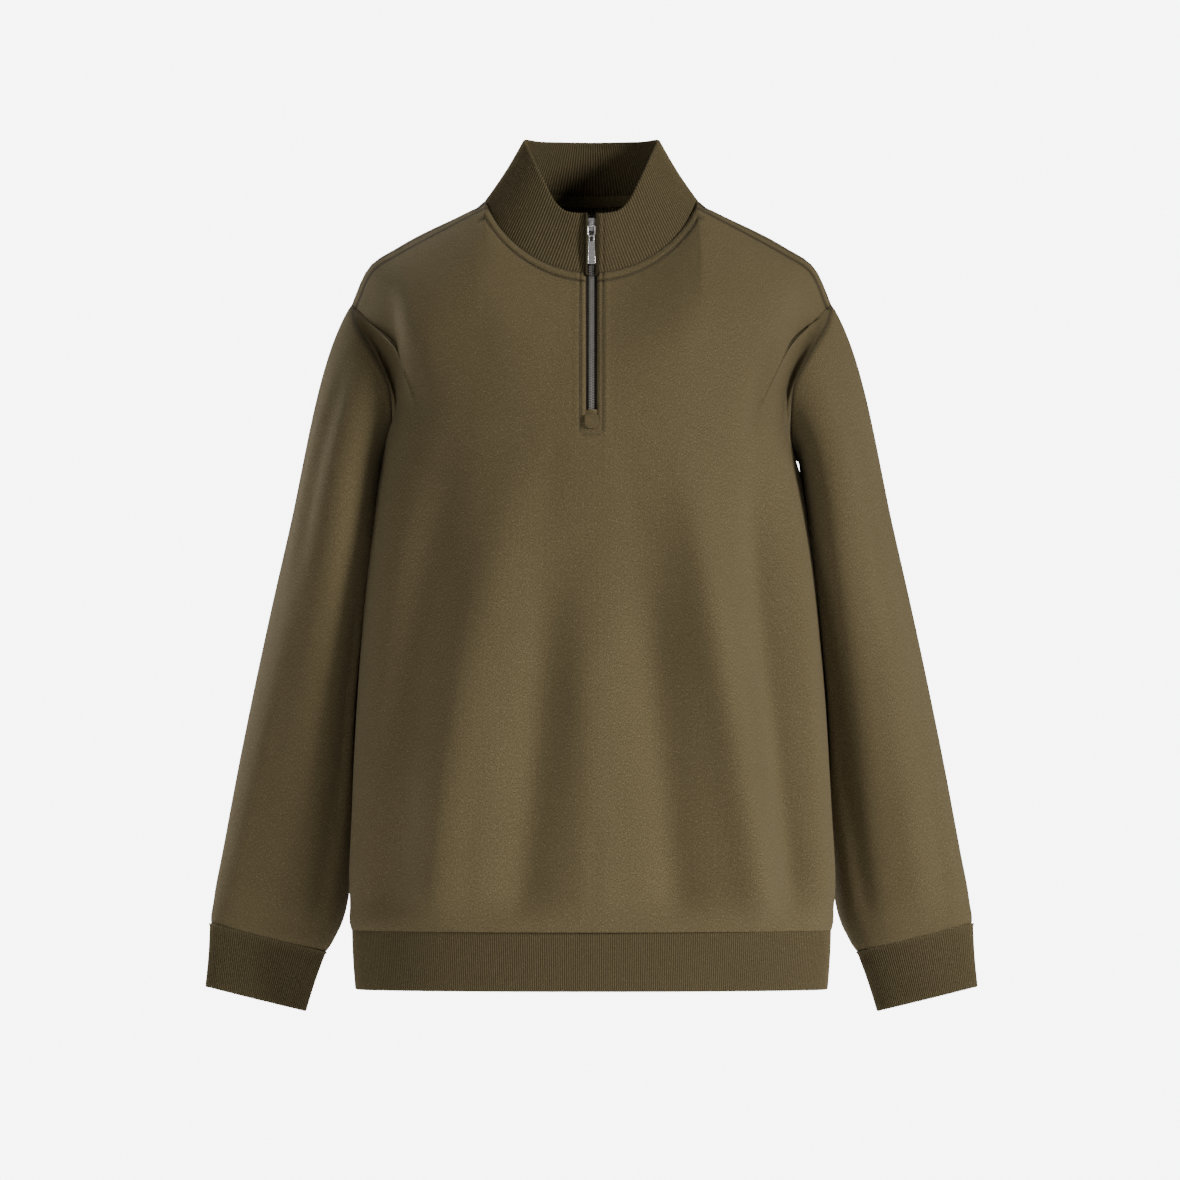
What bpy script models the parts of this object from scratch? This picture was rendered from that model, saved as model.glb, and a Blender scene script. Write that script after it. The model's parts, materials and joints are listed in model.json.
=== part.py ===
"""Half zip sweatshirt, filled out as if worn: body, sleeves, rib trims, stand collar and zip.

The origin is midway between the two neck points, where collar and shoulder seams meet.
+Z is up, the front faces -Y, and sizes in the tables are millimetres.
"""

import math

import bmesh
import bpy
import numpy as np
from mathutils import Matrix, Vector

MM = 0.001

# Cloth, in millimetres
FLEECE = 2.0
RIB_CLOTH = 2.4
SEAM_GAP = 0.46
RIB_PITCH = 2.0
RIB_HEIGHT = 0.55

# Body: one ring for each row, from the hem seam up to the chest.
# seam is the side seam's place front to back, front and back are depths from it.
BODY_COLUMNS = ("height", "half_width", "seam", "front", "back", "square")
BODY_RINGS = (
    (-671, 220.5, 0, 100, 94, 2.20),
    (-626, 222.5, 0, 104, 96, 2.22),
    (-560, 219.5, 1, 109, 98, 2.25),
    (-460, 214.0, 3, 117, 102, 2.28),
    (-400, 209.5, 5, 123, 105, 2.30),
    (-335, 204.0, 7, 130, 108, 2.32),
    (-290, 198.0, 9, 135, 110, 2.35),
    (-262, 193.5, 10, 138, 111, 2.35),
    (-240, 188.5, 11, 140, 111, 2.35),
)
HEM_SEAM = -670.7
HEM_BOTTOM = -725.0
HEM_BOTTOM_HALF_WIDTH = 217.5
HEM_TAPER = 3.0
BAND_INSET = 0.4
CHEST = -262.0

# Neckline, an oval that dips at the front
NECK_HALF_WIDTH = 97.0
NECK_MIDDLE = 2.0
NECK_FRONT = 70.0
NECK_BACK = 50.0
NECK_FRONT_DROP = 69.0
NECK_BACK_DROP = 8.0
NECK_DROP_POWER = 1.35
SHOULDER_AT = 83.0

# Shoulder seam from the neck to the sleeve
SHOULDER_COLUMNS = ("along", "x", "y", "z")
SHOULDER_SEAM = (
    (0.0, 96.3, -6.5, -3.5),
    (0.2, 124.0, -7.0, -18.0),
    (0.4, 152.0, -7.5, -32.7),
    (0.6, 180.0, -7.0, -48.0),
    (0.8, 204.5, -4.5, -63.5),
    (1.0, 220.3, 4.0, -96.6),
)

# Armhole seam, by the angle round the sleeve: 0 at the shoulder, 90 front, 180 armpit
ARMHOLE_COLUMNS = ("angle", "x", "y", "z")
ARMHOLE = (
    (0, 220.3, 4.0, -96.6),
    (30, 215.5, -21.0, -116.0),
    (60, 199.0, -42.0, -144.0),
    (90, 185.5, -49.0, -172.0),
    (120, 182.5, -43.0, -201.0),
    (150, 184.0, -20.0, -227.0),
    (180, 188.0, 11.0, -240.0),
    (210, 186.0, 40.0, -229.0),
    (240, 184.0, 64.0, -204.0),
    (270, 190.0, 74.0, -170.0),
    (300, 203.5, 67.0, -137.0),
    (330, 215.5, 42.0, -109.0),
)

# Directions in which a panel's columns arrive at its upper edge: across, back and up.
# step counts the knots: neck middle 0, neck side 1, shoulder 1 to 2, armhole 2 to 8.
ARRIVAL_COLUMNS = ("step", "across", "back", "up")
FRONT_ARRIVALS = (
    (0, 0.00, 0.50, 0.86),
    (1, -0.10, 0.90, 0.42),
    (1.5, 0.00, 0.92, 0.38),
    (2, 0.35, 0.85, 0.30),
    (3, 0.75, 0.45, 0.40),
    (4, 0.85, 0.05, 0.50),
    (5, 0.70, 0.10, 0.70),
    (6, 0.45, 0.45, 0.77),
    (7, 0.15, 0.45, 0.88),
    (8, 0.00, 0.00, 1.00),
)
BACK_ARRIVALS = (
    (0, 0.00, -0.50, 0.86),
    (1, 0.00, -0.95, 0.00),
    (1.5, 0.00, -0.93, -0.34),
    (2, 0.35, -0.90, -0.24),
    (3, 0.80, -0.55, 0.10),
    (4, 0.90, -0.15, 0.35),
    (5, 0.75, -0.05, 0.65),
    (6, 0.45, -0.25, 0.83),
    (7, 0.15, -0.30, 0.93),
    (8, 0.00, 0.00, 1.00),
)

# Sleeve sections from upper arm to cuff seam: the outer edge's place, half sizes and lean
SLEEVE_COLUMNS = ("outer_x", "outer_z", "y", "half_across", "half_depth", "lean")
SLEEVE_RINGS = (
    (278.7, -305.0, 30, 46.0, 82, 13.0),
    (295.2, -377.0, 36, 51.0, 73, 13.0),
    (311.2, -451.0, 41, 55.5, 63, 13.0),
    (326.0, -524.0, 44, 59.0, 52, 13.0),
    (339.9, -598.0, 46, 61.0, 41, 13.3),
    (347.4, -637.0, 46, 60.5, 33, 13.6),
    (350.4, -668.3, 45, 53.4, 20, 13.9),
)
CUFF_HALF_ACROSS = (52.3, 45.4)
CUFF_HALF_DEPTH = (18.0, 15.5)
CUFF_DRIFT = (10.8, 0.0, -53.6)
CUFF_SHIFT = (0.12, 0.0, -0.5)
CUFF_GIRTH = 242.0
SLEEVE_CLEARANCE = 2.6
ARMPIT_REACH = -222.0
UNDER_ARM_STEP = 7

# Collar's top edge, by the angle round the neck: 0 at the zip, 180 at the back
COLLAR_COLUMNS = ("angle", "height")
COLLAR_EDGE = (
    (0, -14.0),
    (14, -13.6),
    (24, -11.0),
    (32, -4.0),
    (45, 16.0),
    (60, 37.0),
    (75, 50.0),
    (90, 54.0),
    (135, 53.5),
    (180, 52.5),
)
COLLAR_HALF_WIDTH = 62.5
COLLAR_FRONT = 54.0
COLLAR_BACK = 44.0
COLLAR_SHARES = (0.003, 1.0)
COLLAR_LIFT = 0.004
NECK_TAPE_SHARES = (0.04, 0.20)
NECK_TAPE_GAP = 0.5
NECK_TAPE_THICK = 1.0

# Folds of the hanging cloth: a line from top to foot, its half breadth and its height,
# with FOLD_FADE the distance over which they die out beside a seam.
# The columns: top_x, top_z, foot_x, foot_z, breadth, height.
FOLD_FADE = 30.0
FRONT_FOLDS = (
    (-194, -60, -178, -190, 14, -4.5),
    (194, -60, 180, -185, 14, -3.5),
    (-172, -150, -205, -640, 18, 3.5),
    (-132, -230, -196, -645, 21, -9.0),
    (-72, -250, -136, -650, 25, 8.5),
    (-28, -320, -60, -650, 23, -8.0),
    (-4, -390, 2, -655, 23, 5.5),
    (42, -330, 74, -655, 23, -10.5),
    (98, -240, 150, -655, 23, 12.0),
    (144, -240, 186, -640, 16, -10.5),
    (180, -200, 204, -640, 11, 3.0),
)
BACK_FOLDS = (
    (-190, -75, -180, -200, 14, -4.0),
    (188, -75, 180, -205, 14, -5.0),
    (-120, -300, -150, -640, 30, 5.0),
    (-70, -360, -85, -650, 26, -6.0),
    (-10, -300, -18, -655, 34, 4.0),
    (62, -340, 84, -650, 27, -6.0),
    (118, -290, 150, -655, 30, 5.5),
    (172, -280, 198, -640, 20, -4.5),
)

# Zip, in millimetres
SLOT = 5.3
ZIP_FOOT = -198.7
TAPE_EDGE = 0.9
TAPE_REACH = 7.6
TAPE_THICK = 0.8
TAPE_DEPTH = 3.4
CHAIN_HALF = 2.2
CHAIN_THICK = 1.4
ZIP_END_TAB = (12.0, 12.5, 0.8)
ZIP_END_TAB_LIFT = 0.4
TAPE_ENDS = (-205.0, -14.5)
COLLAR_BREAK = (-75.0, -64.0)
CHAIN_ENDS = (ZIP_FOOT + 1.2, -1.5)
SLIDER_AT = -24.4

# Slider, link and pull tab, in millimetres up and out from the slider's middle
SLIDER_HALF_WIDTH = 4.6
SLIDER_HALF_LENGTH = 6.4
SLIDER_LOW = 0.6
SLIDER_PLATE = 1.3
BRIDGE_HALF_LENGTH = 3.7
BRIDGE_HALF_WIDTH = 0.9
BRIDGE_RISE = 2.5
BRIDGE_THICK = 0.9
WIRE_RADIUS = 0.5
WIRE_SIDES = 6
LINK_HALF_WIDTH = 3.4
LINK_LENGTH = 9.6
LINK_AXIS = (-1.9, 1.6)
TAB_AXIS = (LINK_AXIS[0] - LINK_LENGTH, LINK_AXIS[1])
TAB_HALF_WIDTH = 3.6
TAB_THICK = 1.2
TAB_LENGTH = 26.6
TAB_WINDOW = 5.2
LUG_INNER = 1.5
LUG_OUTER = 2.6
LUG_RADIUS = 1.35

# Grid counts for half a panel
NECK_STEPS = 5
SHOULDER_STEPS = 5
ARMHOLE_STEPS = 10
BODY_STEPS = 8
YOKE_STEPS = 9
YOKE_BALANCE = 0.97
CAP_STEPS = 5
ARM_STEPS = 9
ELBOW_ROW = 8
CUFF_SPANS = 26
HEM_SPANS = 60
RING_SAMPLES = 1440
COLLAR_POINTS_PER_SPAN = 10

OLIVE = (0.118, 0.094, 0.047, 1.0)
RIB_OLIVE = (0.105, 0.083, 0.040, 1.0)
TAPE_BROWN = (0.040, 0.030, 0.020, 1.0)
SILVER = (0.62, 0.61, 0.58, 1.0)


def column(table, names, name):
    return np.array([row[names.index(name)] for row in table], float)


def smooth(keys, values, at):
    """A cubic curve through the values, with each slope taken from its neighbours."""
    at = np.clip(np.asarray(at, float), keys[0], keys[-1])
    slopes = np.gradient(values, keys)
    i = np.clip(np.searchsorted(keys, at, side="right") - 1, 0, len(keys) - 2)
    step = keys[i + 1] - keys[i]
    t = (at - keys[i]) / step
    start = values[i] * (2 * t**3 - 3 * t**2 + 1) + values[i + 1] * (3 * t**2 - 2 * t**3)
    return start + step * (slopes[i] * (t**3 - 2 * t**2 + t) + slopes[i + 1] * (t**3 - t**2))


def smooth_loop(keys, values, at, turn=360.0):
    """The same cubic for a closed loop of one turn."""
    keys3 = np.concatenate([keys - turn, keys, keys + turn])
    return smooth(keys3, np.tile(values, 3), np.mod(at, turn))


def ease(t):
    t = np.clip(t, 0.0, 1.0)
    return t * t * (3 - 2 * t)


def hermite(p0, p1, t0, t1, t):
    """The curve from p0 to p1 that leaves along t0 and arrives along t1."""
    t = t[..., None]
    ends = p0 * (2 * t**3 - 3 * t**2 + 1) + p1 * (3 * t**2 - 2 * t**3)
    return ends + t0 * (t**3 - 2 * t**2 + t) + t1 * (t**3 - t**2)


def body_value(name, z):
    rings = BODY_RINGS
    return smooth(column(rings, BODY_COLUMNS, "height"), column(rings, BODY_COLUMNS, name), z)


def body_ring(angle, z, side):
    """A point of the body's ring at height z: x = a sin(angle), y = depth cos(angle),
    each squared off by the ring's power. side is -1 for the front and 1 for the back."""
    power = 2.0 / body_value("square", z)
    depth = body_value("front" if side < 0 else "back", z)
    a = np.radians(angle)
    x = body_value("half_width", z) * np.abs(np.sin(a)) ** power
    y = body_value("seam", z) + side * depth * np.abs(np.cos(a)) ** power
    return np.stack(np.broadcast_arrays(x, y, z), -1)


def neckline(angle):
    """The collar seam, by the angle round the neck from the zip."""
    a = np.radians(angle)
    front = angle < 90
    x = NECK_HALF_WIDTH * np.sin(a)
    y = NECK_MIDDLE - np.where(front, NECK_FRONT, NECK_BACK) * np.cos(a)
    drop = np.abs(np.cos(a))
    z = np.where(front, -NECK_FRONT_DROP * drop**NECK_DROP_POWER, -NECK_BACK_DROP * drop**2)
    return np.stack([x, y, z], -1)


def shoulder_seam(t):
    along = column(SHOULDER_SEAM, SHOULDER_COLUMNS, "along")
    return np.stack(
        [smooth(along, column(SHOULDER_SEAM, SHOULDER_COLUMNS, c), t) for c in "xyz"], -1
    )


def armhole(angle):
    keys = column(ARMHOLE, ARMHOLE_COLUMNS, "angle")
    return np.stack(
        [smooth_loop(keys, column(ARMHOLE, ARMHOLE_COLUMNS, c), angle) for c in "xyz"], -1
    )


def half_panel_columns(side):
    """For each column of half a panel: its angle on the body's rings, the place where it
    ends on the panel's upper edge, and the direction in which it arrives there."""
    neck = np.linspace(0, 1, NECK_STEPS + 1)
    shoulder = np.linspace(0, 1, SHOULDER_STEPS + 1)[1:]
    arm = np.linspace(0, 1, ARMHOLE_STEPS + 1)[1:]
    ring_angle = np.concatenate([28 * neck, 28 + 20 * shoulder, 48 + 42 * arm])
    to_seam = SHOULDER_AT * neck if side < 0 else 180 - (180 - SHOULDER_AT) * neck
    arm_angle = 180 * arm if side < 0 else 360 - 180 * arm
    ends = np.concatenate([neckline(to_seam), shoulder_seam(shoulder), armhole(arm_angle)])
    ends[NECK_STEPS] = shoulder_seam(0.0)
    arrivals = FRONT_ARRIVALS if side < 0 else BACK_ARRIVALS
    knots = column(arrivals, ARRIVAL_COLUMNS, "step")
    step = np.concatenate([neck, 1 + shoulder, 2 + 6 * arm])
    arrive = np.stack(
        [smooth(knots, column(arrivals, ARRIVAL_COLUMNS, c), step) for c in ARRIVAL_COLUMNS[1:]], -1
    )
    arrive /= np.linalg.norm(arrive, axis=1)[:, None]
    arrive *= (1.05 - 0.5 * ease((step - 2) / 2))[:, None]
    return ring_angle, ends, arrive


def fold_height(x, z, folds):
    """Height of the folds at a point: a soft bell across each fold's line, fading at both ends."""
    total = np.zeros(np.broadcast(x, z).shape)
    for top_x, top_z, foot_x, foot_z, breadth, height in folds:
        t = (top_z - z) / (top_z - foot_z)
        line = top_x + (foot_x - top_x) * np.clip(t, -0.2, 1.1)
        fade = ease((t + 0.12) / 0.45) * ease((1.14 - t) / 0.22)
        total += height * fade * np.exp(-(((x - line) / breadth) ** 2))
    return total * ease((z - HEM_SEAM) / 34)


def normals(grid, closed=False):
    """Unit normals of a grid of points, from the differences between neighbours."""
    if closed:
        around = np.roll(grid, -1, 1) - np.roll(grid, 1, 1)
    else:
        around = np.gradient(grid, axis=1)
    across = np.cross(around, np.gradient(grid, axis=0))
    return across / np.maximum(np.linalg.norm(across, axis=-1), 1e-9)[..., None]


def pull_in(grid, edges):
    """Draws the named edges of a grid back by half a seam gap."""
    grid = grid.copy()
    ends = {"foot": (0, 1, 0), "top": (-1, -2, 0), "left": (0, 1, 1), "right": (-1, -2, 1)}
    for edge in edges:
        last, inner, axis = ends[edge]
        flat = np.moveaxis(grid, axis, 0)
        back = flat[inner] - flat[last]
        flat[last] += back / np.linalg.norm(back, axis=-1)[..., None] * SEAM_GAP / 2
    return grid


def yoke_rows():
    """Where the rows above the chest lie, as shares of each column, with one at the zip's foot."""
    share_below = (ZIP_FOOT - 1.5 - CHEST) / (-NECK_FRONT_DROP - CHEST)
    below = np.linspace(0, share_below * YOKE_BALANCE, 3)[1:]
    above = 1 - np.linspace(1, 0, YOKE_STEPS - 1) ** 1.25
    return np.concatenate([below, below[-1] + (1 - below[-1]) * above[1:]])[:, None]


def seam_distance(grid):
    """How far each point of a panel lies from its upper edge or its nearer side edge."""
    steps = np.linalg.norm(np.diff(grid, axis=0), axis=-1)
    from_top = np.pad(np.cumsum(steps[::-1], axis=0)[::-1], ((0, 1), (0, 0)))
    steps = np.linalg.norm(np.diff(grid, axis=1), axis=-1)
    from_left = np.pad(np.cumsum(steps, axis=1), ((0, 0), (1, 0)))
    return np.minimum(from_top, np.minimum(from_left, from_left[:, -1:] - from_left))


def panel_grid(side):
    """The outer face of the front (side -1) or back (side 1), rows from hem to neck."""
    ring_angle, ends, arrive = half_panel_columns(side)
    heights = np.linspace(HEM_SEAM, CHEST, BODY_STEPS + 1)
    rings = body_ring(ring_angle[None, :], heights[:, None], side)
    if side < 0:
        slot_power = body_value("square", heights) / 2
        slot = np.degrees(np.arcsin((SLOT / body_value("half_width", heights)) ** slot_power))
        rings[:, 0] = body_ring(slot, heights, side)
        ends[0] = neckline(np.degrees(np.arcsin(SLOT / NECK_HALF_WIDTH)))
    leave = body_ring(ring_angle, CHEST + 4.0, side) - body_ring(ring_angle, CHEST - 4.0, side)
    leave /= np.linalg.norm(leave, axis=1)[:, None]
    chord = np.linalg.norm(ends - rings[-1], axis=1)[:, None]
    if side < 0:
        leave[0, 0] = 0.0
    yoke = hermite(rings[-1], ends, leave * chord * 1.05, arrive * chord, yoke_rows())
    half = np.concatenate([rings, yoke])
    mirrored = half[:, ::-1] * (-1, 1, 1)
    grid = np.concatenate([mirrored if side < 0 else mirrored[:, :-1], half], 1)
    folds = FRONT_FOLDS if side < 0 else BACK_FOLDS
    height = fold_height(grid[..., 0], grid[..., 2], folds)
    seam_fade = ease(seam_distance(grid) / FOLD_FADE)
    out = normals(grid) * -side
    if side < 0:
        mid = grid.shape[1] // 2
        seam_fade[:, mid - 1 : mid + 1] *= 0.3
        out[:, mid - 1 : mid + 1, 0] = 0
    return grid + out * (height * seam_fade)[..., None]


def body_reach(y, z):
    """How far the body's side stands out at a place beside it."""
    z = np.clip(z, -671, -240)
    seam = body_value("seam", z)
    depth = np.where(y < seam, body_value("front", z), body_value("back", z))
    power = body_value("square", z)
    inside = np.clip(1 - np.abs((y - seam) / depth) ** power, 0, 1)
    return body_value("half_width", z) * inside ** (1 / power)


def clear_of_body(grid):
    """Holds the sleeve's points, apart from those of its seam, just clear of the body's side."""
    free = grid[1:]
    depth_below = ARMPIT_REACH - free[..., 2]
    limit = body_reach(free[..., 1], free[..., 2]) + SLEEVE_CLEARANCE * ease(depth_below / 24)
    free[..., 0] = np.where(depth_below > 0, np.maximum(free[..., 0], limit), free[..., 0])
    return grid


def sleeve_section(angle, at):
    """A point of the sleeve: at runs over the rows of SLEEVE_RINGS."""
    rows = np.arange(len(SLEEVE_RINGS), dtype=float)
    value = {c: smooth(rows, column(SLEEVE_RINGS, SLEEVE_COLUMNS, c), at) for c in SLEEVE_COLUMNS}
    lean = np.radians(value["lean"])
    a = np.radians(angle)
    across = value["half_across"] * (np.cos(a) - 1)
    x = value["outer_x"] + across * np.cos(lean)
    z = value["outer_z"] + across * np.sin(lean)
    y = value["y"] - value["half_depth"] * np.sin(a)
    return np.stack(np.broadcast_arrays(x, y, z), -1)


def sleeve_grid():
    """The outer face of the sleeve on +X: rows from the armhole to the cuff seam."""
    angle = np.arange(2 * ARMHOLE_STEPS) * 180.0 / ARMHOLE_STEPS
    loop = armhole(angle)
    first = sleeve_section(angle, 0.0)
    a = np.radians(angle)
    behind = np.maximum(-np.sin(a), 0) * np.maximum(-np.cos(a), 0)
    leave = np.stack(
        [0.72 - 0.16 * np.cos(a) - 0.6 * behind, -0.22 * np.sin(a), -0.62 - 0.2 * np.cos(a)], -1
    )
    arrive = sleeve_section(angle, 0.3) - first
    arrive /= np.linalg.norm(arrive, axis=1)[:, None]
    chord = np.linalg.norm(first - loop, axis=1)[:, None]
    t = np.linspace(0, 1, CAP_STEPS + 1)[:-1]
    pace = (0.74 + 0.13 * np.cos(a) - 0.13 * np.cos(a) ** 2)[:, None]
    cap = hermite(loop, first, leave * chord * pace, arrive * chord, t[:, None])
    at = np.linspace(0, len(SLEEVE_RINGS) - 1, ARM_STEPS + 1)
    grid = np.concatenate([cap, sleeve_section(angle[None, :], at[:, None])])
    return clear_of_body(grid)


def polyline(points, at):
    """Points along straight pieces between the given ones; at runs over their numbers."""
    keys = np.arange(len(points))
    return np.stack([np.interp(at, keys, points[:, i]) for i in range(3)], -1)


def neck_knots():
    """The points that the body's panels share with the collar, from the zip to the back."""
    front = SHOULDER_AT * np.linspace(0, 1, NECK_STEPS + 1)
    back = 180 - (180 - SHOULDER_AT) * np.linspace(1, 0, NECK_STEPS + 1)
    points = np.concatenate([neckline(front), neckline(back[1:])])
    points[0] = neckline(np.degrees(np.arcsin(SLOT / NECK_HALF_WIDTH)))
    points[NECK_STEPS] = shoulder_seam(0.0)
    return points, np.concatenate([front, back[1:]])


def collar_edge(angle):
    """The collar's folded top edge, by the angle round the neck."""
    a = np.radians(angle)
    x = np.maximum(COLLAR_HALF_WIDTH * np.sin(a), np.where(angle < 90, SLOT, 0.0))
    y = -np.where(angle < 90, COLLAR_FRONT, COLLAR_BACK) * np.cos(a)
    keys = column(COLLAR_EDGE, COLLAR_COLUMNS, "angle")
    z = smooth(keys, column(COLLAR_EDGE, COLLAR_COLUMNS, "height"), angle)
    return np.stack([x, y, z], -1)


def collar_rows(count, up):
    """Rows of the collar's outer face at the given shares of its height, zip end to zip end."""
    points, angles = neck_knots()
    at = np.linspace(0, len(points) - 1, count)
    foot = polyline(points, at)
    edge = collar_edge(np.interp(at, np.arange(len(angles)), angles))
    half = np.stack([foot + (edge - foot) * u for u in up])
    return np.concatenate([half, half[:, ::-1][:, 1:] * (-1, 1, 1)], 1)


def new_object(name, points, faces, material):
    mesh = bpy.data.meshes.new(name)
    mesh.from_pydata((np.asarray(points) * MM).tolist(), [], faces)
    bm = bmesh.new()
    bm.from_mesh(mesh)
    bmesh.ops.recalc_face_normals(bm, faces=bm.faces)
    bm.to_mesh(mesh)
    bm.free()
    mesh.shade_smooth()
    mesh.set_sharp_from_angle(angle=math.radians(50))
    mesh.materials.append(material)
    obj = bpy.data.objects.new(name, mesh)
    bpy.context.scene.collection.objects.link(obj)
    return obj


def wall(name, grid, inner, material, closed=False, open_quad=None):
    """A closed wall between an outer and an inner grid of the same size.
    open_quad says which quads are left out, such as those of the zip's slot."""
    rows, cols = grid.shape[:2]
    quads = []
    for r in range(rows - 1):
        for c in range(cols if closed else cols - 1):
            if open_quad is None or not open_quad(r, c):
                d = (c + 1) % cols
                quads.append((r * cols + c, r * cols + d, (r + 1) * cols + d, (r + 1) * cols + c))
    edges = {}
    for quad in quads:
        for i in range(4):
            edges[(quad[i], quad[(i + 1) % 4])] = True
    n = rows * cols
    faces = quads + [tuple(n + i for i in reversed(quad)) for quad in quads]
    for a, b in edges:
        if (b, a) not in edges:
            faces.append((b, a, n + a, n + b))
    points = np.concatenate([grid.reshape(-1, 3), inner.reshape(-1, 3)])
    used = sorted({i for face in faces for i in face})
    place = {old: new for new, old in enumerate(used)}
    faces = [tuple(place[i] for i in face) for face in faces]
    return new_object(name, points[used], faces, material)


def rib_wall(name, outer, inner, material, closed):
    """A wall whose outer face has ribs and whose inner face is plain. The inner grid has
    fewer columns, and the rims fan out from them to the ribs' points."""
    rows, fine = outer.shape[:2]
    coarse = inner.shape[1]
    shift = rows * fine
    faces = []

    def quads(start, height, cols, flip):
        for r in range(height - 1):
            for c in range(cols if closed else cols - 1):
                d = (c + 1) % cols
                quad = [start + r * cols + c, start + r * cols + d]
                quad += [start + (r + 1) * cols + d, start + (r + 1) * cols + c]
                faces.append(tuple(reversed(quad)) if flip else tuple(quad))

    quads(0, rows, fine, False)
    quads(shift, inner.shape[0], coarse, True)
    spans = coarse if closed else coarse - 1
    step = (fine if closed else fine - 1) // spans
    for outer_row, inner_row, flip in ((0, 0, False), (rows - 1, inner.shape[0] - 1, True)):
        for j in range(spans):
            here = shift + inner_row * coarse + j
            following = shift + inner_row * coarse + (j + 1) % coarse
            ring = [outer_row * fine + (j * step + k) % fine for k in range(step + 1)]
            if not closed:
                ring = [outer_row * fine + j * step + k for k in range(step + 1)]
            fan = [(here, ring[k + 1], ring[k]) for k in range(step)]
            fan.append((here, following, ring[-1]))
            faces += [tuple(reversed(f)) if flip else f for f in fan]
    if not closed:
        for column_outer, column_inner in ((0, 0), (fine - 1, coarse - 1)):
            side = [r * fine + column_outer for r in range(rows)]
            back = [shift + r * coarse + column_inner for r in range(inner.shape[0])]
            faces.append(tuple(side + back[::-1]))
    points = np.concatenate([outer.reshape(-1, 3), inner.reshape(-1, 3)])
    return new_object(name, points, faces, material)


def share(*places):
    """Gives the points that pieces share at a seam one normal, so that their walls meet."""
    both = sum(array[index] for array, index in places)
    both /= np.linalg.norm(both, axis=-1)[..., None]
    for array, index in places:
        array[index] = both


def shared_normals(front, back, sleeve):
    """Outward normals of the panels and of both sleeves. Panels take the sleeve's at the
    armhole, apart from under the arm, where the sleeve turns back beside the body."""
    out_front, out_back = normals(front), -normals(back)
    out_sleeve = {sign: normals(sleeve, True) * (sign, 1, 1) for sign in (1, -1)}
    half = NECK_STEPS + SHOULDER_STEPS + ARMHOLE_STEPS
    tip = NECK_STEPS + SHOULDER_STEPS
    for sign in (1, -1):
        front_start = half + 1 if sign > 0 else half
        for step in range(half + 1):
            on_front = (out_front, (-1, front_start + sign * step))
            on_back = (out_back, (-1, half + sign * step))
            turn = step - tip
            seams = [((on_front,), turn), ((on_back,), -turn)]
            if NECK_STEPS <= step < tip:
                share(on_front, on_back)
            if step in (tip, half):
                seams = [((on_front, on_back), turn)]
            for panels, at in seams if step >= tip else ():
                share(*panels)
                if turn < UNDER_ARM_STEP:
                    for array, index in panels:
                        array[index] = out_sleeve[sign][0, at]
        rows = slice(0, -1)
        share((out_front, (rows, front_start + sign * half)), (out_back, (rows, half + sign * half)))
    return out_front, out_back, out_sleeve


def make_cloth(fleece):
    """The front with its zip slot, the back and both sleeves, each in two at the elbow."""
    front, back, sleeve = panel_grid(-1), panel_grid(1), sleeve_grid()
    out_front, out_back, out_sleeve = shared_normals(front, back, sleeve)
    middle = front.shape[1] // 2 - 1
    edges = ("foot", "top", "left", "right")

    def slot(r, c):
        return c == middle and front[r, middle, 2] > ZIP_FOOT - 8

    for name, grid, out, gaps in (("front", front, out_front, slot), ("back", back, out_back, None)):
        outer = pull_in(grid, edges)
        wall(name, outer, outer - out * FLEECE, fleece, open_quad=gaps)
    edges = ("foot", "top")
    halves = (("upper", slice(0, ELBOW_ROW + 1)), ("lower", slice(ELBOW_ROW, None)))
    for name, sign in (("right", 1), ("left", -1)):
        for half, rows in halves:
            outer = pull_in(sleeve[rows] * (sign, 1, 1), edges)
            inner = outer - out_sleeve[sign][rows] * FLEECE
            wall(f"sleeve_{half}_{name}", outer, inner, fleece, closed=True)


def cuff_ring(count, t, inset):
    """A ring of the cuff, t from its seam to its open end, inset towards the inside."""
    angle = np.arange(count) * 360.0 / count
    a = np.radians(angle)
    last = dict(zip(SLEEVE_COLUMNS, SLEEVE_RINGS[-1]))
    lean = math.radians(last["lean"])
    full = last["half_across"]
    half = CUFF_HALF_ACROSS[0] + (CUFF_HALF_ACROSS[1] - CUFF_HALF_ACROSS[0]) * t - inset
    deep = CUFF_HALF_DEPTH[0] + (CUFF_HALF_DEPTH[1] - CUFF_HALF_DEPTH[0]) * t - inset
    centre = [last["outer_x"] - full * math.cos(lean), last["y"]]
    centre = np.array(centre + [last["outer_z"] - full * math.sin(lean)])
    centre = centre + np.array(CUFF_DRIFT) * t + np.array(CUFF_SHIFT)
    x = centre[0] + half * np.cos(a) * math.cos(lean)
    z = centre[2] + half * np.cos(a) * math.sin(lean)
    return np.stack([x, centre[1] - deep * np.sin(a), z], -1)


def make_cuffs(rib):
    spans = CUFF_SPANS
    ribs = round(CUFF_GIRTH / RIB_PITCH / spans) * spans
    for name, sign in (("cuff_right", 1), ("cuff_left", -1)):
        outer = np.stack([cuff_ring(2 * ribs, t, RIB_HEIGHT) for t in (0, 1)])
        inner = np.stack([cuff_ring(spans, t, RIB_CLOTH) for t in (0, 1)])
        outer = outer + normals(outer, True) * np.tile([0, RIB_HEIGHT], ribs)[None, :, None]
        rib_wall(name, outer * (sign, 1, 1), inner * (sign, 1, 1), rib, closed=True)


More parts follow.
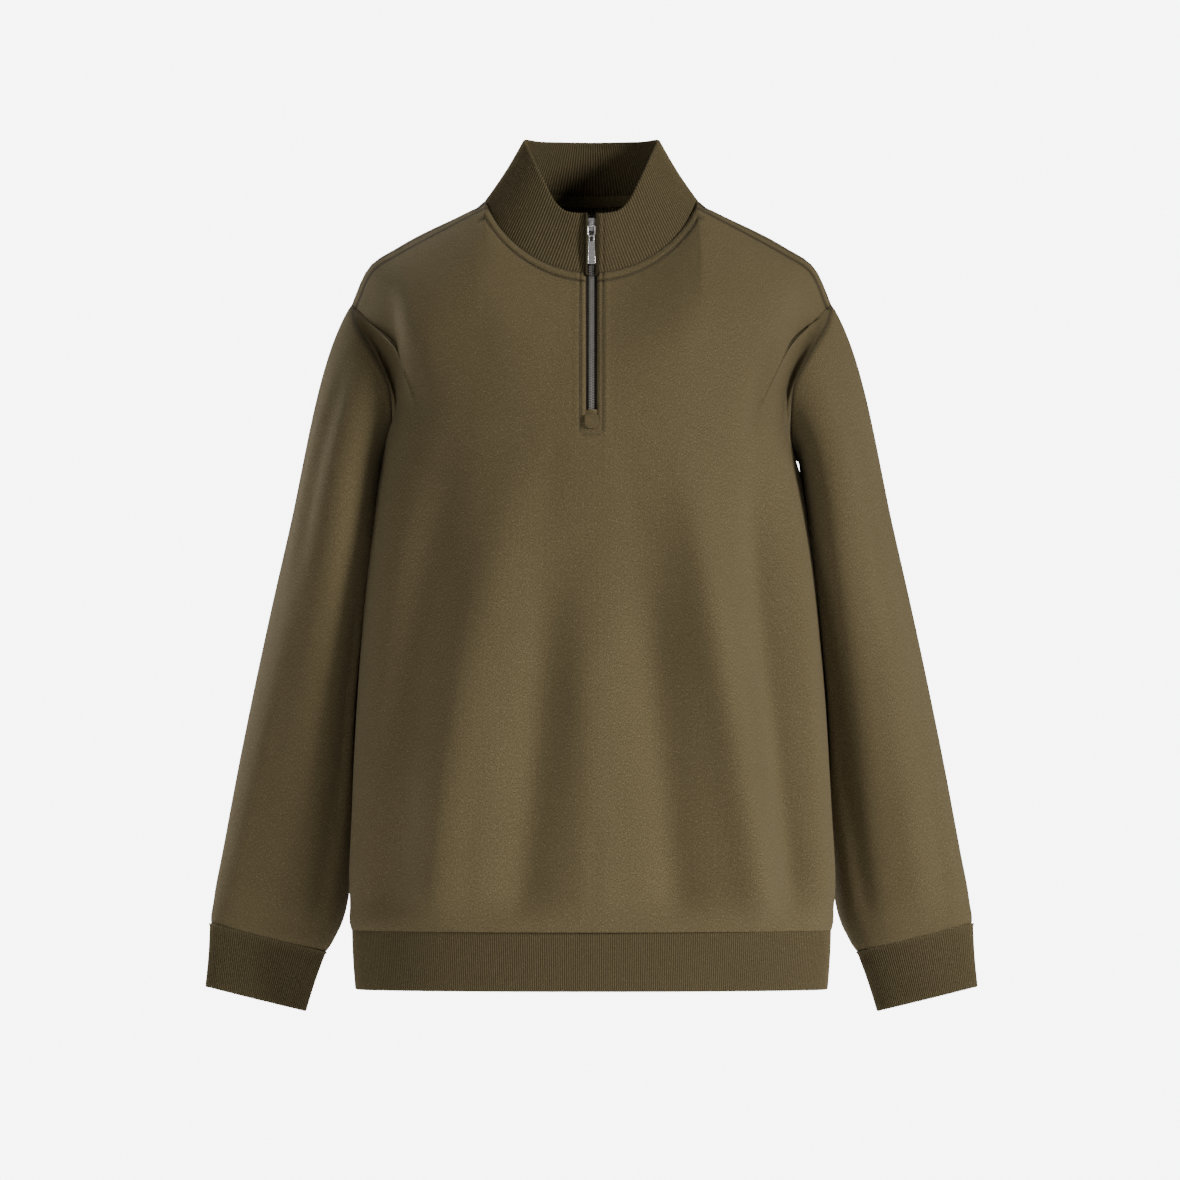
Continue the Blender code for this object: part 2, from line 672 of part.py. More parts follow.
def hem_ring(count, t, inset):
    """A ring of the hem band, t from its seam down to its folded edge."""
    angle = np.arange(count) * 360.0 / count
    z = HEM_SEAM + (HEM_BOTTOM - HEM_SEAM) * t
    power = 2.0 / body_value("square", HEM_SEAM)
    half = body_value("half_width", HEM_SEAM)
    half = half - BAND_INSET + (HEM_BOTTOM_HALF_WIDTH - half) * t - inset
    a = np.radians(angle)
    front = np.cos(a) > 0
    depth = np.where(front, body_value("front", HEM_SEAM), body_value("back", HEM_SEAM))
    depth = depth - BAND_INSET - HEM_TAPER * t - inset
    x = half * np.sign(np.sin(a)) * np.abs(np.sin(a)) ** power
    y = -depth * np.sign(np.cos(a)) * np.abs(np.cos(a)) ** power
    return np.stack(np.broadcast_arrays(x, y, z), -1)


def even_ring(ring, count):
    """The same ring with its points at even steps along it."""
    loop = np.concatenate([ring, ring[:1]])
    length = np.concatenate([[0], np.cumsum(np.linalg.norm(np.diff(loop, axis=0), axis=1))])
    at = np.arange(count) * length[-1] / count
    return np.stack([np.interp(at, length, loop[:, i]) for i in range(3)], -1)


def make_hem(rib):
    fine, spans = RING_SAMPLES, HEM_SPANS
    top = hem_ring(fine, 0.0, RIB_HEIGHT)
    around = np.linalg.norm(top - np.roll(top, 1, 0), axis=1).sum()
    ribs = round(around / RIB_PITCH / spans * 2) * spans // 2
    outer = np.stack([even_ring(hem_ring(fine, t, RIB_HEIGHT), 2 * ribs) for t in (0, 1)])
    inner = np.stack([even_ring(hem_ring(fine, t, RIB_CLOTH), spans) for t in (0, 1)])
    outer[0, :, 2] -= SEAM_GAP
    inner[0, :, 2] -= SEAM_GAP
    flat_out = normals(outer, True)
    sign = -1.0 if flat_out[0, 0, 1] > 0 else 1.0
    outer = outer + sign * flat_out * np.tile([0, RIB_HEIGHT], ribs)[None, :, None]
    rib_wall("hem_band", outer, inner, rib, closed=True)


def make_collar(rib, fleece):
    spans = 2 * NECK_STEPS * 4
    half_count = spans // 2 * COLLAR_POINTS_PER_SPAN + 1
    outer = collar_rows(half_count, COLLAR_SHARES)
    flat_out = normals(outer)
    sign = 1.0 if flat_out[0, 0, 1] < 0 else -1.0
    raised = np.zeros(outer.shape[1])
    raised[1::2] = RIB_HEIGHT
    inner = collar_rows(spans // 2 + 1, COLLAR_SHARES)
    inner = inner - sign * normals(inner) * RIB_CLOTH
    inner[:, [0, -1], 0] = outer[:, [0, -1], 0]
    outer = outer + sign * flat_out * (raised - RIB_HEIGHT)[None, :, None]
    outer[:, [0, -1], 0] = inner[:, [0, -1], 0]
    outer[0] += (outer[1] - outer[0]) * COLLAR_LIFT
    inner[0] += (inner[1] - inner[0]) * COLLAR_LIFT
    rib_wall("collar", outer, inner, rib, closed=False)
    tape = collar_rows(spans // 2 + 1, NECK_TAPE_SHARES)
    tape = tape - sign * normals(tape) * (RIB_CLOTH + NECK_TAPE_GAP)
    keep = slice(spans // 4 + 2, -(spans // 4 + 2))
    tape = tape[:, keep]
    wall("neck_tape", tape, tape - sign * normals(tape) * NECK_TAPE_THICK, fleece)


def centre_line(z):
    """The depth of the front's centre line, down the collar and then the chest."""
    grid = panel_grid(-1)
    middle = grid.shape[1] // 2
    heights, depths = grid[:, middle, 2], grid[:, middle, 1]
    top = collar_edge(np.array([0.0]))[0]
    foot = neckline(np.array([0.0]))[0]
    collar = foot[1] + (top[1] - foot[1]) * (z - foot[2]) / (top[2] - foot[2])
    return np.where(z > foot[2], collar, np.interp(z, heights, depths))


def strip_grid(x_from, x_to, z_rows, depth):
    """Rows of two points across the zip, set back from the front's centre line."""
    y = centre_line(z_rows)
    slope = np.gradient(y, z_rows)
    length = np.sqrt(1 + slope**2)
    out_y, out_z = -1 / length, slope / length
    rows = [
        np.stack([np.full_like(y, x), y - out_y * depth, z_rows - out_z * depth], -1)
        for x in (x_from, x_to)
    ]
    return np.stack(rows, 1)


def make_zip(tape_cloth, metal, fleece):
    below, above = COLLAR_BREAK
    foot, head = TAPE_ENDS
    rows = np.concatenate([np.linspace(foot, below, 9), np.linspace(above, head, 4)])
    for name, sign in (("zip_tape_right", 1), ("zip_tape_left", -1)):
        front = strip_grid(sign * TAPE_EDGE, sign * TAPE_REACH, rows, TAPE_DEPTH)
        rear = strip_grid(sign * TAPE_EDGE, sign * TAPE_REACH, rows, TAPE_DEPTH + TAPE_THICK)
        wall(name, front, rear, tape_cloth)
    foot, head = CHAIN_ENDS[0], SLIDER_AT + CHAIN_ENDS[1]
    rows = np.concatenate([np.linspace(foot, below, 9), np.linspace(above, head, 3)])
    top = TAPE_DEPTH - 0.3 - CHAIN_THICK
    front = strip_grid(-CHAIN_HALF, CHAIN_HALF, rows, top)
    rear = strip_grid(-CHAIN_HALF, CHAIN_HALF, rows, top + CHAIN_THICK)
    wall("zip_chain", front, rear, metal)
    width, length, thick = ZIP_END_TAB
    rows = ZIP_FOOT - 0.5 - np.linspace(length, 0, 4)
    front = strip_grid(-width / 2, width / 2, rows, -ZIP_END_TAB_LIFT - thick)
    rear = strip_grid(-width / 2, width / 2, rows, -ZIP_END_TAB_LIFT)
    wall("zip_end_tab", front, rear, fleece)


def slider_frame():
    """The place of the slider on the collar's slope: origin, up along it, and out of it."""
    y, z = float(centre_line(np.array([SLIDER_AT]))[0]), SLIDER_AT
    foot, top = neckline(np.array([0.0]))[0], collar_edge(np.array([0.0]))[0]
    up = np.array([0.0, top[1] - foot[1], top[2] - foot[2]])
    up /= np.linalg.norm(up)
    return np.array([0.0, y, z]), up, np.array([0.0, -up[2], up[1]])


def place(points, origin=(0.0, 0.0)):
    """Puts points given as x, up and out, from a place up and out of the slider, in the model."""
    at, up, out = slider_frame()
    points = np.asarray(points, float)
    x, u, n = points[:, 0], points[:, 1] + origin[0], points[:, 2] + origin[1]
    return at + np.outer(x, (1, 0, 0)) + np.outer(u, up) + np.outer(n, out)


def prism(outline, low, high):
    """Points and faces of an outline (x, up) made solid from low to high."""
    n = len(outline)
    points = [(x, u, low) for x, u in outline] + [(x, u, high) for x, u in outline]
    faces = [tuple(range(n))[::-1], tuple(range(n, 2 * n))]
    faces += [(i, (i + 1) % n, n + (i + 1) % n, n + i) for i in range(n)]
    return points, faces


def rod(x_from, x_to, radius, sides=14):
    """Points and faces of a round bar along x."""
    turn = [2 * math.pi * (i + 0.5) / sides for i in range(sides)]
    ring = [(radius * math.cos(a), radius * math.sin(a)) for a in turn]
    points = [(x, u, n) for x in (x_from, x_to) for u, n in ring]
    faces = [tuple(range(sides))[::-1], tuple(range(sides, 2 * sides))]
    faces += [(i, (i + 1) % sides, sides + (i + 1) % sides, sides + i) for i in range(sides)]
    return points, faces


def combine(target, other, operation):
    """Cuts or joins another object's shape with an exact Boolean, then removes the object."""
    modifier = target.modifiers.new(operation, "BOOLEAN")
    modifier.operation = operation
    modifier.solver = "EXACT"
    modifier.object = other
    bpy.context.view_layer.update()
    result = bpy.data.meshes.new_from_object(
        target.evaluated_get(bpy.context.evaluated_depsgraph_get())
    )
    target.modifiers.clear()
    target.data = result
    bpy.data.objects.remove(other)


def metal_piece(name, shape, origin, metal):
    points, faces = shape
    return new_object(name, place(points, origin), faces, metal)


def on_axis(obj, axis):
    """Moves an object's origin to its joint's axis, with its shape left where it is."""
    centre = place([(0.0, 0.0, 0.0)], axis)[0] * MM
    obj.data.transform(Matrix.Translation(-Vector(centre)))
    obj.location = centre


def make_slider(metal):
    top, foot, half = SLIDER_HALF_LENGTH, -SLIDER_HALF_LENGTH, SLIDER_HALF_WIDTH
    narrow = half * 0.82
    shield = [(narrow, foot), (half, foot * 0.4), (half, top * 0.6), (half * 0.6, top)]
    shield += [(-x, u) for x, u in reversed(shield)]
    plate_top = -SLIDER_LOW + SLIDER_PLATE
    rear = -(TAPE_DEPTH + TAPE_THICK + 0.4)
    slider = metal_piece("zip_slider", prism(shield, -SLIDER_LOW, plate_top), (0, 0), metal)
    post = [(-0.55, 2.4), (0.55, 2.4), (0.55, 4.4), (-0.55, 4.4)]
    pieces = [
        prism([(x * 0.95, u * 0.97) for x, u in shield], rear - 1.0, rear),
        prism(post, rear - 0.5, 0.2),
    ]
    crown = BRIDGE_RISE + BRIDGE_THICK
    foot_u, head_u = -BRIDGE_HALF_LENGTH, BRIDGE_HALF_LENGTH
    arch = [(foot_u, 0.2), (foot_u, crown - 1.0), (foot_u + 1.2, crown), (head_u - 1.2, crown)]
    arch += [(head_u, crown - 1.0), (head_u, 0.2), (head_u - 1.0, 0.2)]
    arch += [(head_u - 1.0, BRIDGE_RISE - 0.4), (head_u - 1.6, BRIDGE_RISE)]
    arch += [(foot_u + 1.6, BRIDGE_RISE), (foot_u + 1.0, BRIDGE_RISE - 0.4), (foot_u + 1.0, 0.2)]
    points, faces = prism(arch, -BRIDGE_HALF_WIDTH, BRIDGE_HALF_WIDTH)
    pieces.append(([(x, u, n) for u, n, x in points], faces))
    for shape in pieces:
        combine(slider, metal_piece("joined", shape, (0, 0), metal), "UNION")
    return slider


def make_link(metal):
    """A bent wire loop: its upper bar lies in the slider's bridge, its lower one in the tab."""
    half, length, corner, radius = LINK_HALF_WIDTH, LINK_LENGTH, 1.1, WIRE_RADIUS
    path = []
    for cx, cu, start in (
        (half - corner, -corner, 0),
        (-half + corner, -corner, 90),
        (-half + corner, -length + corner, 180),
        (half - corner, -length + corner, 270),
    ):
        for step in range(4):
            a = math.radians(start + 30 * step)
            path.append((cx + corner * math.cos(a), cu + corner * math.sin(a)))
    path = np.array(path)
    along = np.roll(path, -1, 0) - np.roll(path, 1, 0)
    along /= np.linalg.norm(along, axis=1)[:, None]
    sideways = np.stack([along[:, 1], -along[:, 0]], 1)
    sides = WIRE_SIDES
    points, faces = [], []
    for (x, u), (sx, su) in zip(path, sideways):
        for k in range(sides):
            a = 2 * math.pi * (k + 0.5) / sides
            c, n = radius * math.cos(a), radius * math.sin(a)
            points.append((x + sx * c, u + su * c, n))
    count = len(path)
    for i in range(count):
        j = (i + 1) % count
        for k in range(sides):
            m = (k + 1) % sides
            faces.append((i * sides + k, i * sides + m, j * sides + m, j * sides + k))
    link = metal_piece("pull_link", (points, faces), LINK_AXIS, metal)
    on_axis(link, LINK_AXIS)
    return link


def make_tab(metal):
    """The pull tab: two lugs on the link's lower bar, a window, and the plate."""
    neck, half, thick = LUG_OUTER, TAB_HALF_WIDTH, TAB_THICK / 2
    low = -TAB_LENGTH
    outline = [(-neck, 0.6), (-neck, -1.9), (-half, -2.7), (-half, low + 0.6), (-half + 0.6, low)]
    outline += [(-x, u) for x, u in reversed(outline)]
    outline += [(LUG_INNER, 0.6), (LUG_INNER, -TAB_WINDOW), (-LUG_INNER, -TAB_WINDOW)]
    outline += [(-LUG_INNER, 0.6)]
    tab = metal_piece("pull_tab", prism(outline, -thick, thick), TAB_AXIS, metal)
    for sign in (-1, 1):
        ends = sorted((sign * (LUG_INNER - 0.05), sign * (LUG_OUTER + 0.05)))
        lug = metal_piece("joined", rod(ends[0], ends[1], LUG_RADIUS), TAB_AXIS, metal)
        combine(tab, lug, "UNION")
    bore = metal_piece("bore", rod(-6, 6, WIRE_RADIUS + 0.34), TAB_AXIS, metal)
    combine(tab, bore, "DIFFERENCE")
    on_axis(tab, TAB_AXIS)
    return tab


def material(name, colour, roughness, metallic=0.0):
    made = bpy.data.materials.new(name)
    made.use_nodes = True
    shader = made.node_tree.nodes["Principled BSDF"]
    shader.inputs["Base Color"].default_value = colour
    shader.inputs["Roughness"].default_value = roughness
    shader.inputs["Metallic"].default_value = metallic
    return made


def main():
    for obj in list(bpy.data.objects):
        bpy.data.objects.remove(obj)
    fleece = material("olive_fleece", OLIVE, 0.92)
    rib = material("olive_rib", RIB_OLIVE, 0.92)
    tape_cloth = material("zip_tape", TAPE_BROWN, 0.85)
    metal = material("brushed_silver", SILVER, 0.32, 1.0)
    make_cloth(fleece)
    make_cuffs(rib)
    make_hem(rib)
    make_collar(rib, fleece)
    make_zip(tape_cloth, metal, fleece)
    make_slider(metal)
    make_link(metal)
    make_tab(metal)


main()
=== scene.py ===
# %% [markdown]
# # A half zip sweatshirt in olive fleece
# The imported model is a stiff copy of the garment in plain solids. Each cell below makes one
# piece of the real garment over its solid: the knitted cloth, the ribbed trims, the zip and
# its pull. Lengths in the tables are millimetres, and meshes are written in metres.

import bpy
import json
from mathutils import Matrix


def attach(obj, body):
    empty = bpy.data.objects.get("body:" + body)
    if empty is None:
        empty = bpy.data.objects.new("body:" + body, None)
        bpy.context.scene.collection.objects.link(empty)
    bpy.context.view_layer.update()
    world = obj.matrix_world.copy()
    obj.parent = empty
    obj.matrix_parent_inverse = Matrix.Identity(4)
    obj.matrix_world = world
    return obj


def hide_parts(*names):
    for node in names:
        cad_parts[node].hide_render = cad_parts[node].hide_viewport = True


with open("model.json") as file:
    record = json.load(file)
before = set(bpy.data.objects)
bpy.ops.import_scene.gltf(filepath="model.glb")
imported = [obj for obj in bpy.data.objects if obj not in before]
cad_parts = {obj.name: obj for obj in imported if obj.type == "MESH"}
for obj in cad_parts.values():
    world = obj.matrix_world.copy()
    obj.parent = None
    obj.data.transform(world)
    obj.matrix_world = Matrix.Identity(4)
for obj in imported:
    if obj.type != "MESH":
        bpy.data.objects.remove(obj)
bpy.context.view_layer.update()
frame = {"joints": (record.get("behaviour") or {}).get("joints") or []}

# %% Blender's modules, and the unit
import json
import math

import bpy
import numpy as np

MM = 0.001

# %% [markdown]
# ## Curves for a garment
# A pattern cutter works from a few measured points and draws smooth lines between them. The
# helpers below do the same: `smooth` draws a cubic through a table's values, `hermite` bends
# a line between two ends with a known direction at each, and `ease` fades things in and out.
# A `Table` keeps each list of measured points with a name for every column.

# %% Smooth curves
def smooth(keys, values, at):
    """A cubic through the values, with each slope taken from the two neighbours."""
    at = np.clip(np.asarray(at, float), keys[0], keys[-1])
    slopes = np.gradient(values, keys)
    i = np.clip(np.searchsorted(keys, at, side="right") - 1, 0, len(keys) - 2)
    step = keys[i + 1] - keys[i]
    t = (at - keys[i]) / step
    line = values[i] * (2 * t**3 - 3 * t**2 + 1) + values[i + 1] * (3 * t**2 - 2 * t**3)
    return line + step * (slopes[i] * (t**3 - 2 * t**2 + t) + slopes[i + 1] * (t**3 - t**2))


def smooth_loop(keys, values, at):
    """The same cubic for a closed loop of 360 degrees."""
    keys3 = np.concatenate([keys - 360, keys, keys + 360])
    return smooth(keys3, np.tile(values, 3), np.mod(at, 360))


def ease(t):
    """3t^2 - 2t^3 between 0 and 1, and flat beyond."""
    t = np.clip(t, 0.0, 1.0)
    return t * t * (3 - 2 * t)


def bell(x):
    """exp(-x^2): 1 in the middle, near 0 two widths away."""
    return np.exp(-(x**2))


def hermite(p0, p1, t0, t1, t):
    """The curve from p0 to p1 that leaves along t0 and arrives along t1."""
    t = t[..., None]
    ends = p0 * (2 * t**3 - 3 * t**2 + 1) + p1 * (3 * t**2 - 2 * t**3)
    return ends + t0 * (t**3 - 2 * t**2 + t) + t1 * (t**3 - t**2)


def squared(wave, power):
    """A sine or cosine raised to a power below 1, with its sign kept: it squares an oval."""
    return np.sign(wave) * np.abs(wave) ** power


def unit(vectors):
    """Each vector divided by its own length."""
    return vectors / np.maximum(np.linalg.norm(vectors, axis=-1, keepdims=True), 1e-9)


def way_along(points, axis=0):
    """How far along its line, or its row or column of a grid, each point lies."""
    steps = np.linalg.norm(np.diff(points, axis=axis), axis=-1)
    before = [(0, 0)] * steps.ndim
    before[axis] = (1, 0)
    return np.pad(np.cumsum(steps, axis), before)


def points_at(line, keys, at):
    """The line's points at the given values of its keys, straight from point to point."""
    return np.stack([np.interp(at, keys, line[:, i]) for i in range(3)], -1)


class Table:
    """A short table with named columns: Table("a b", rows)["a"] is column a."""

    def __init__(self, names, rows):
        self.columns = dict(zip(names.split(), np.array(rows, float).T))

    def __getitem__(self, name):
        return self.columns[name]

    def curve(self, at, names="x y z", draw=smooth):
        """The named columns as one smooth line over the table's first column."""
        keys = next(iter(self.columns.values()))
        return np.stack([draw(keys, self[name], at) for name in names.split()], -1)


print("ease at a quarter", float(ease(0.25)))

# %% [markdown]
# ## The body's sizes
# These are the sizes that the solids were made from. The body is a squared oval at each
# height. The neckline is an oval that dips at the front, and the armhole is a closed line
# round the shoulder, given by its angle round the sleeve.

# %% Sizes of the body, neckline, shoulder and armhole
BODY = Table("height half_width seam front back square", (
    (-671, 220.5, 0, 100, 94, 2.20),
    (-626, 222.5, 0, 104, 96, 2.22),
    (-560, 219.5, 1, 109, 98, 2.25),
    (-460, 214.0, 3, 117, 102, 2.28),
    (-400, 209.5, 5, 123, 105, 2.30),
    (-335, 204.0, 7, 130, 108, 2.32),
    (-290, 198.0, 9, 135, 110, 2.35),
    (-262, 193.5, 10, 138, 111, 2.35),
    (-240, 188.5, 11, 140, 111, 2.35),
))
HEM_SEAM, HEM_BOTTOM, HEM_BOTTOM_HALF_WIDTH, CHEST = -670.7, -725.0, 217.5, -262.0
NECK_HALF_WIDTH, NECK_MIDDLE, SHOULDER_AT = 97.0, 2.0, 83.0
NECK_FRONT, NECK_BACK, NECK_FRONT_DROP, NECK_BACK_DROP = 70.0, 50.0, 69.0, 8.0
SHOULDER = Table("along x y z", (
    (0.0, 96.3, -6.5, -3.5),
    (0.2, 124.0, -7.0, -18.0),
    (0.4, 152.0, -7.5, -32.7),
    (0.6, 180.0, -7.0, -48.0),
    (0.8, 204.5, -4.5, -63.5),
    (1.0, 220.3, 4.0, -96.6),
))
ARMHOLE = Table("angle x y z", (
    (0, 220.3, 4.0, -96.6),
    (30, 215.5, -21.0, -116.0),
    (60, 199.0, -42.0, -144.0),
    (90, 185.5, -49.0, -172.0),
    (120, 182.5, -43.0, -201.0),
    (150, 184.0, -20.0, -227.0),
    (180, 188.0, 11.0, -240.0),
    (210, 186.0, 40.0, -229.0),
    (240, 184.0, 64.0, -204.0),
    (270, 190.0, 74.0, -170.0),
    (300, 203.5, 67.0, -137.0),
    (330, 215.5, 42.0, -109.0),
))
SLOT, ZIP_FOOT = 5.3, -198.7


def body_value(name, z):
    return smooth(BODY["height"], BODY[name], z)


def body_ring(angle, z, side):
    """x = a sin(angle), y = depth cos(angle), each raised to the ring's squareness.
    side is -1 for the front and 1 for the back."""
    power = 2.0 / body_value("square", z)
    depth = body_value("front" if side < 0 else "back", z)
    a = np.radians(angle)
    x = body_value("half_width", z) * np.abs(np.sin(a)) ** power
    y = body_value("seam", z) + side * depth * np.abs(np.cos(a)) ** power
    return np.stack(np.broadcast_arrays(x, y, z), -1)


def neckline(angle):
    """The collar seam by the angle round the neck from the zip: an oval whose height is
    -69 cos^1.35 at the front and -8 cos^2 at the back."""
    a = np.radians(angle)
    front = angle < 90
    drop = np.abs(np.cos(a))
    x = NECK_HALF_WIDTH * np.sin(a)
    y = NECK_MIDDLE - np.where(front, NECK_FRONT, NECK_BACK) * np.cos(a)
    z = np.where(front, -NECK_FRONT_DROP * drop**1.35, -NECK_BACK_DROP * drop**2)
    return np.stack([x, y, z], -1)


def shoulder_seam(t):
    return SHOULDER.curve(t)


def armhole(angle):
    return ARMHOLE.curve(angle, draw=smooth_loop)


quarters = [body_ring(np.linspace(0, 90, 90), CHEST, side) for side in (-1, 1)]
print("chest girth in mm", round(2 * sum(way_along(line)[-1] for line in quarters)))

# %% [markdown]
# ## Writing shaders as sums
# A material is a small sum over the surface: two tones mixed by a mask, a bump made of two
# waves. Node by node that is hard to read, so the class below lets a socket be added,
# multiplied and subtracted like a number, and each operator adds its Math node.

# %% A socket that does arithmetic
class Shade:
    """A node's output. Operators on values add Math nodes, in either order."""

    def __init__(self, desk, socket):
        self.desk, self.socket = desk, socket

    def maths(self, operation, *values):
        return self.desk.node("ShaderNodeMath", {"operation": operation}, dict(enumerate(values)))

    def __add__(self, other):
        return self.maths("ADD", self, other)

    def __sub__(self, other):
        return self.maths("SUBTRACT", self, other)

    def __rsub__(self, other):
        return self.maths("SUBTRACT", other, self)

    def __mul__(self, other):
        return self.maths("MULTIPLY", self, other)

    __radd__ = __add__
    __rmul__ = __mul__

    def sine(self):
        return self.maths("SINE", self)

    def fraction(self):
        return self.maths("FRACT", self)

    def distance_to(self, other):
        return self.maths("ABSOLUTE", self - other)


class Desk:
    """One material's node tree, with its shader's constant values set by name."""

    def __init__(self, name, **constants):
        self.material = bpy.data.materials.new(name)
        self.material.use_nodes = True
        self.tree = self.material.node_tree
        self.shader = self.tree.nodes["Principled BSDF"]
        for key, value in constants.items():
            self.shader.inputs[key.replace("_", " ").title()].default_value = value

    def link(self, socket, value):
        if isinstance(value, Shade):
            self.tree.links.new(value.socket, socket)
        else:
            socket.default_value = value

    def node(self, kind, settings=None, sockets=None, output=0):
        """Adds a node: its settings first, such as a Math node's operation, then its sockets."""
        made = self.tree.nodes.new(kind)
        for key, value in (settings or {}).items():
            setattr(made, key, value)
        for key, value in (sockets or {}).items():
            self.link(made.inputs[key], value)
        return Shade(self, made.outputs[output])

    def mix(self, mask, first, second):
        """first where the mask is 0, second where it is 1, as colours."""
        sockets = {0: mask, 6: first, 7: second}
        return self.node("ShaderNodeMix", {"data_type": "RGBA"}, sockets, 2)

    def noise(self, place, detail, stretch):
        """Noise squeezed along each axis: stretch is its number of grains to a metre."""
        vector = self.node("ShaderNodeMapping", None, {0: place, 3: stretch})
        sockets = {"Vector": vector, "Scale": 1.0, "Detail": detail}
        return self.node("ShaderNodeTexNoise", None, sockets)

    def cloth_map(self):
        """The piece's own map, in metres across and along the cloth."""
        return self.node("ShaderNodeUVMap", {"uv_map": "cloth"})

    def axis(self, vector, number):
        return self.node("ShaderNodeSeparateXYZ", None, {0: vector}, number)

    def painted_shade_attribute(self):
        """Painted shade: 1 on a ridge or plain cloth, and less in a furrow, a seam or a stitch's
        groove.
        """
        return self.node("ShaderNodeAttribute", {"attribute_name": "rib"}, None, 2)

    def finish(self, colour, roughness=None, height=None, depth=0.001):
        """Feeds the shader's colour, roughness and a bump of the given depth in metres."""
        self.link(self.shader.inputs["Base Color"], colour)
        if roughness is not None:
            self.link(self.shader.inputs["Roughness"], roughness)
        if height is not None:
            bump = self.node("ShaderNodeBump", None, {"Height": height, "Distance": depth})
            self.link(self.shader.inputs["Normal"], bump)
        return self.material


print("shader desk ready")

# %% [markdown]
# ## The cloths
# The fleece has a smooth knitted face spun from yarns of several olive browns, so close up
# it is a field of tiny upright flecks. The mask is a noise squeezed sideways along the
# cloth's own map, in metres, so the flecks follow the grain of each panel. The knit's
# stitches are a bump: upright wales 1.1 mm apart, broken by small arrowheads. Little light
# reaches the bottom of a seam, so the colour also follows an attribute of the mesh that is
# 1 on open cloth and falls in every groove.

# %% Fleece
FULL_TURN = 6.2832
WALE, COURSE = 0.0011, 0.0009


def heather(desk, cloth_map, tones):
    """Three tones of yarn: fine upright flecks over a slow drift of light and dark."""
    dark, middle, light = tones
    fleck = desk.noise(cloth_map, 3.0, (1700, 700, 1))
    speck = desk.noise(cloth_map, 1.0, (860, 560, 1))
    drift = desk.noise(cloth_map, 2.0, (14, 9, 1))
    base = desk.mix((fleck - 0.36) * 3.4, dark, middle)
    flecked = desk.mix((speck - 0.56) * 3.2, base, light)
    return desk.mix((drift - 0.35) * 0.9, flecked, desk.mix(0.5, flecked, dark)), fleck


def knit_desk(name, roughness, sheen):
    """A desk for soft yarn, with a warm sheen and hardly any gloss."""
    desk = Desk(name, roughness=roughness, sheen_weight=sheen, sheen_roughness=0.45,
                sheen_tint=(0.62, 0.54, 0.36, 1))
    desk.shader.inputs["Specular IOR Level"].default_value = 0.22
    return desk


def make_fleece():
    desk = knit_desk("olive_fleece_knit", 0.93, 0.18)
    cloth_map = desk.cloth_map()
    tones = ((0.072, 0.053, 0.0225, 1), (0.148, 0.116, 0.056, 1), (0.235, 0.190, 0.105, 1))
    colour, fleck = heather(desk, cloth_map, tones)
    # painted shade: the colour falls to near black where the attribute falls, in seams and grooves
    colour = desk.mix(desk.painted_shade_attribute(), (0.028, 0.020, 0.009, 1), colour)
    across = desk.axis(cloth_map, 0) * (1 / WALE)
    along = desk.axis(cloth_map, 1) * (1 / COURSE)
    arrowhead = along + across.fraction().distance_to(0.5) * 1.3
    stitch = (arrowhead * FULL_TURN).sine() * 0.25 + (across * FULL_TURN).sine() * 0.3
    return desk.finish(colour, height=stitch + fleck * 1.2, depth=0.00022)


fleece = make_fleece()
print("material", fleece.name)

# %% [markdown]
# ## Rib, tape, thread and metal
# The ribs are real ridges in the trims' meshes, so their material adds only the yarn and a painted
# shade low between the ribs, read from an attribute that the mesh maker fills in.
# The zip's tape is a dark twill, and its metal has three finishes: bright on the pull,
# duller on the slider, and a grey gunmetal on the teeth.

# %% Rib knit, zip tape, thread and metal
RIB_COURSE, TWILL_LINE = 0.0011, 0.0009


def make_rib():
    desk = knit_desk("olive_rib_knit", 0.92, 0.15)
    cloth_map = desk.cloth_map()
    tones = ((0.078, 0.058, 0.0245, 1), (0.150, 0.117, 0.056, 1), (0.225, 0.182, 0.098, 1))
    colour, fleck = heather(desk, cloth_map, tones)
    # painted shade: darkest low in the furrows between the ribs
    shaded = desk.mix(desk.painted_shade_attribute() * 0.9 + 0.1, (0.026, 0.019, 0.008, 1), colour)
    along = desk.axis(cloth_map, 1) * (FULL_TURN / RIB_COURSE)
    return desk.finish(shaded, height=along.sine() * 0.3 + fleck, depth=0.00018)


def make_tape_cloth():
    desk = Desk("dark_zip_tape", roughness=0.88)
    cloth_map = desk.cloth_map()
    slanting = desk.axis(cloth_map, 0) + desk.axis(cloth_map, 1) * 0.8
    twill = (slanting * (FULL_TURN / TWILL_LINE)).sine()
    colour = desk.mix(twill * 0.4 + 0.5, (0.020, 0.016, 0.011, 1), (0.046, 0.036, 0.024, 1))
    return desk.finish(colour, height=twill, depth=0.00012)


def make_metal(name, low, high, roughness, metallic=0.8):
    """A satin metal: its tone and roughness drift with brushing lines along the zip."""
    desk = Desk(name, metallic=metallic)
    place = desk.node("ShaderNodeTexCoord", None, None, 3)
    brush = desk.noise(place, 4.0, (2600, 2600, 260))
    return desk.finish(desk.mix(brush, low, high), brush * 0.08 + (roughness - 0.04))


rib_knit = make_rib()
tape_cloth = make_tape_cloth()
bright = make_metal("satin_silver", (0.60, 0.59, 0.56, 1), (0.86, 0.85, 0.82, 1), 0.27)
dull = make_metal("slider_silver", (0.42, 0.41, 0.39, 1), (0.72, 0.71, 0.69, 1), 0.33)
gunmetal = make_metal("gunmetal_teeth", (0.36, 0.335, 0.30, 1), (0.66, 0.63, 0.58, 1), 0.32, 0.65)
thread = Desk("olive_thread", roughness=0.7, sheen_weight=0.2).finish((0.090, 0.069, 0.031, 1))
print("materials", len(bpy.data.materials))

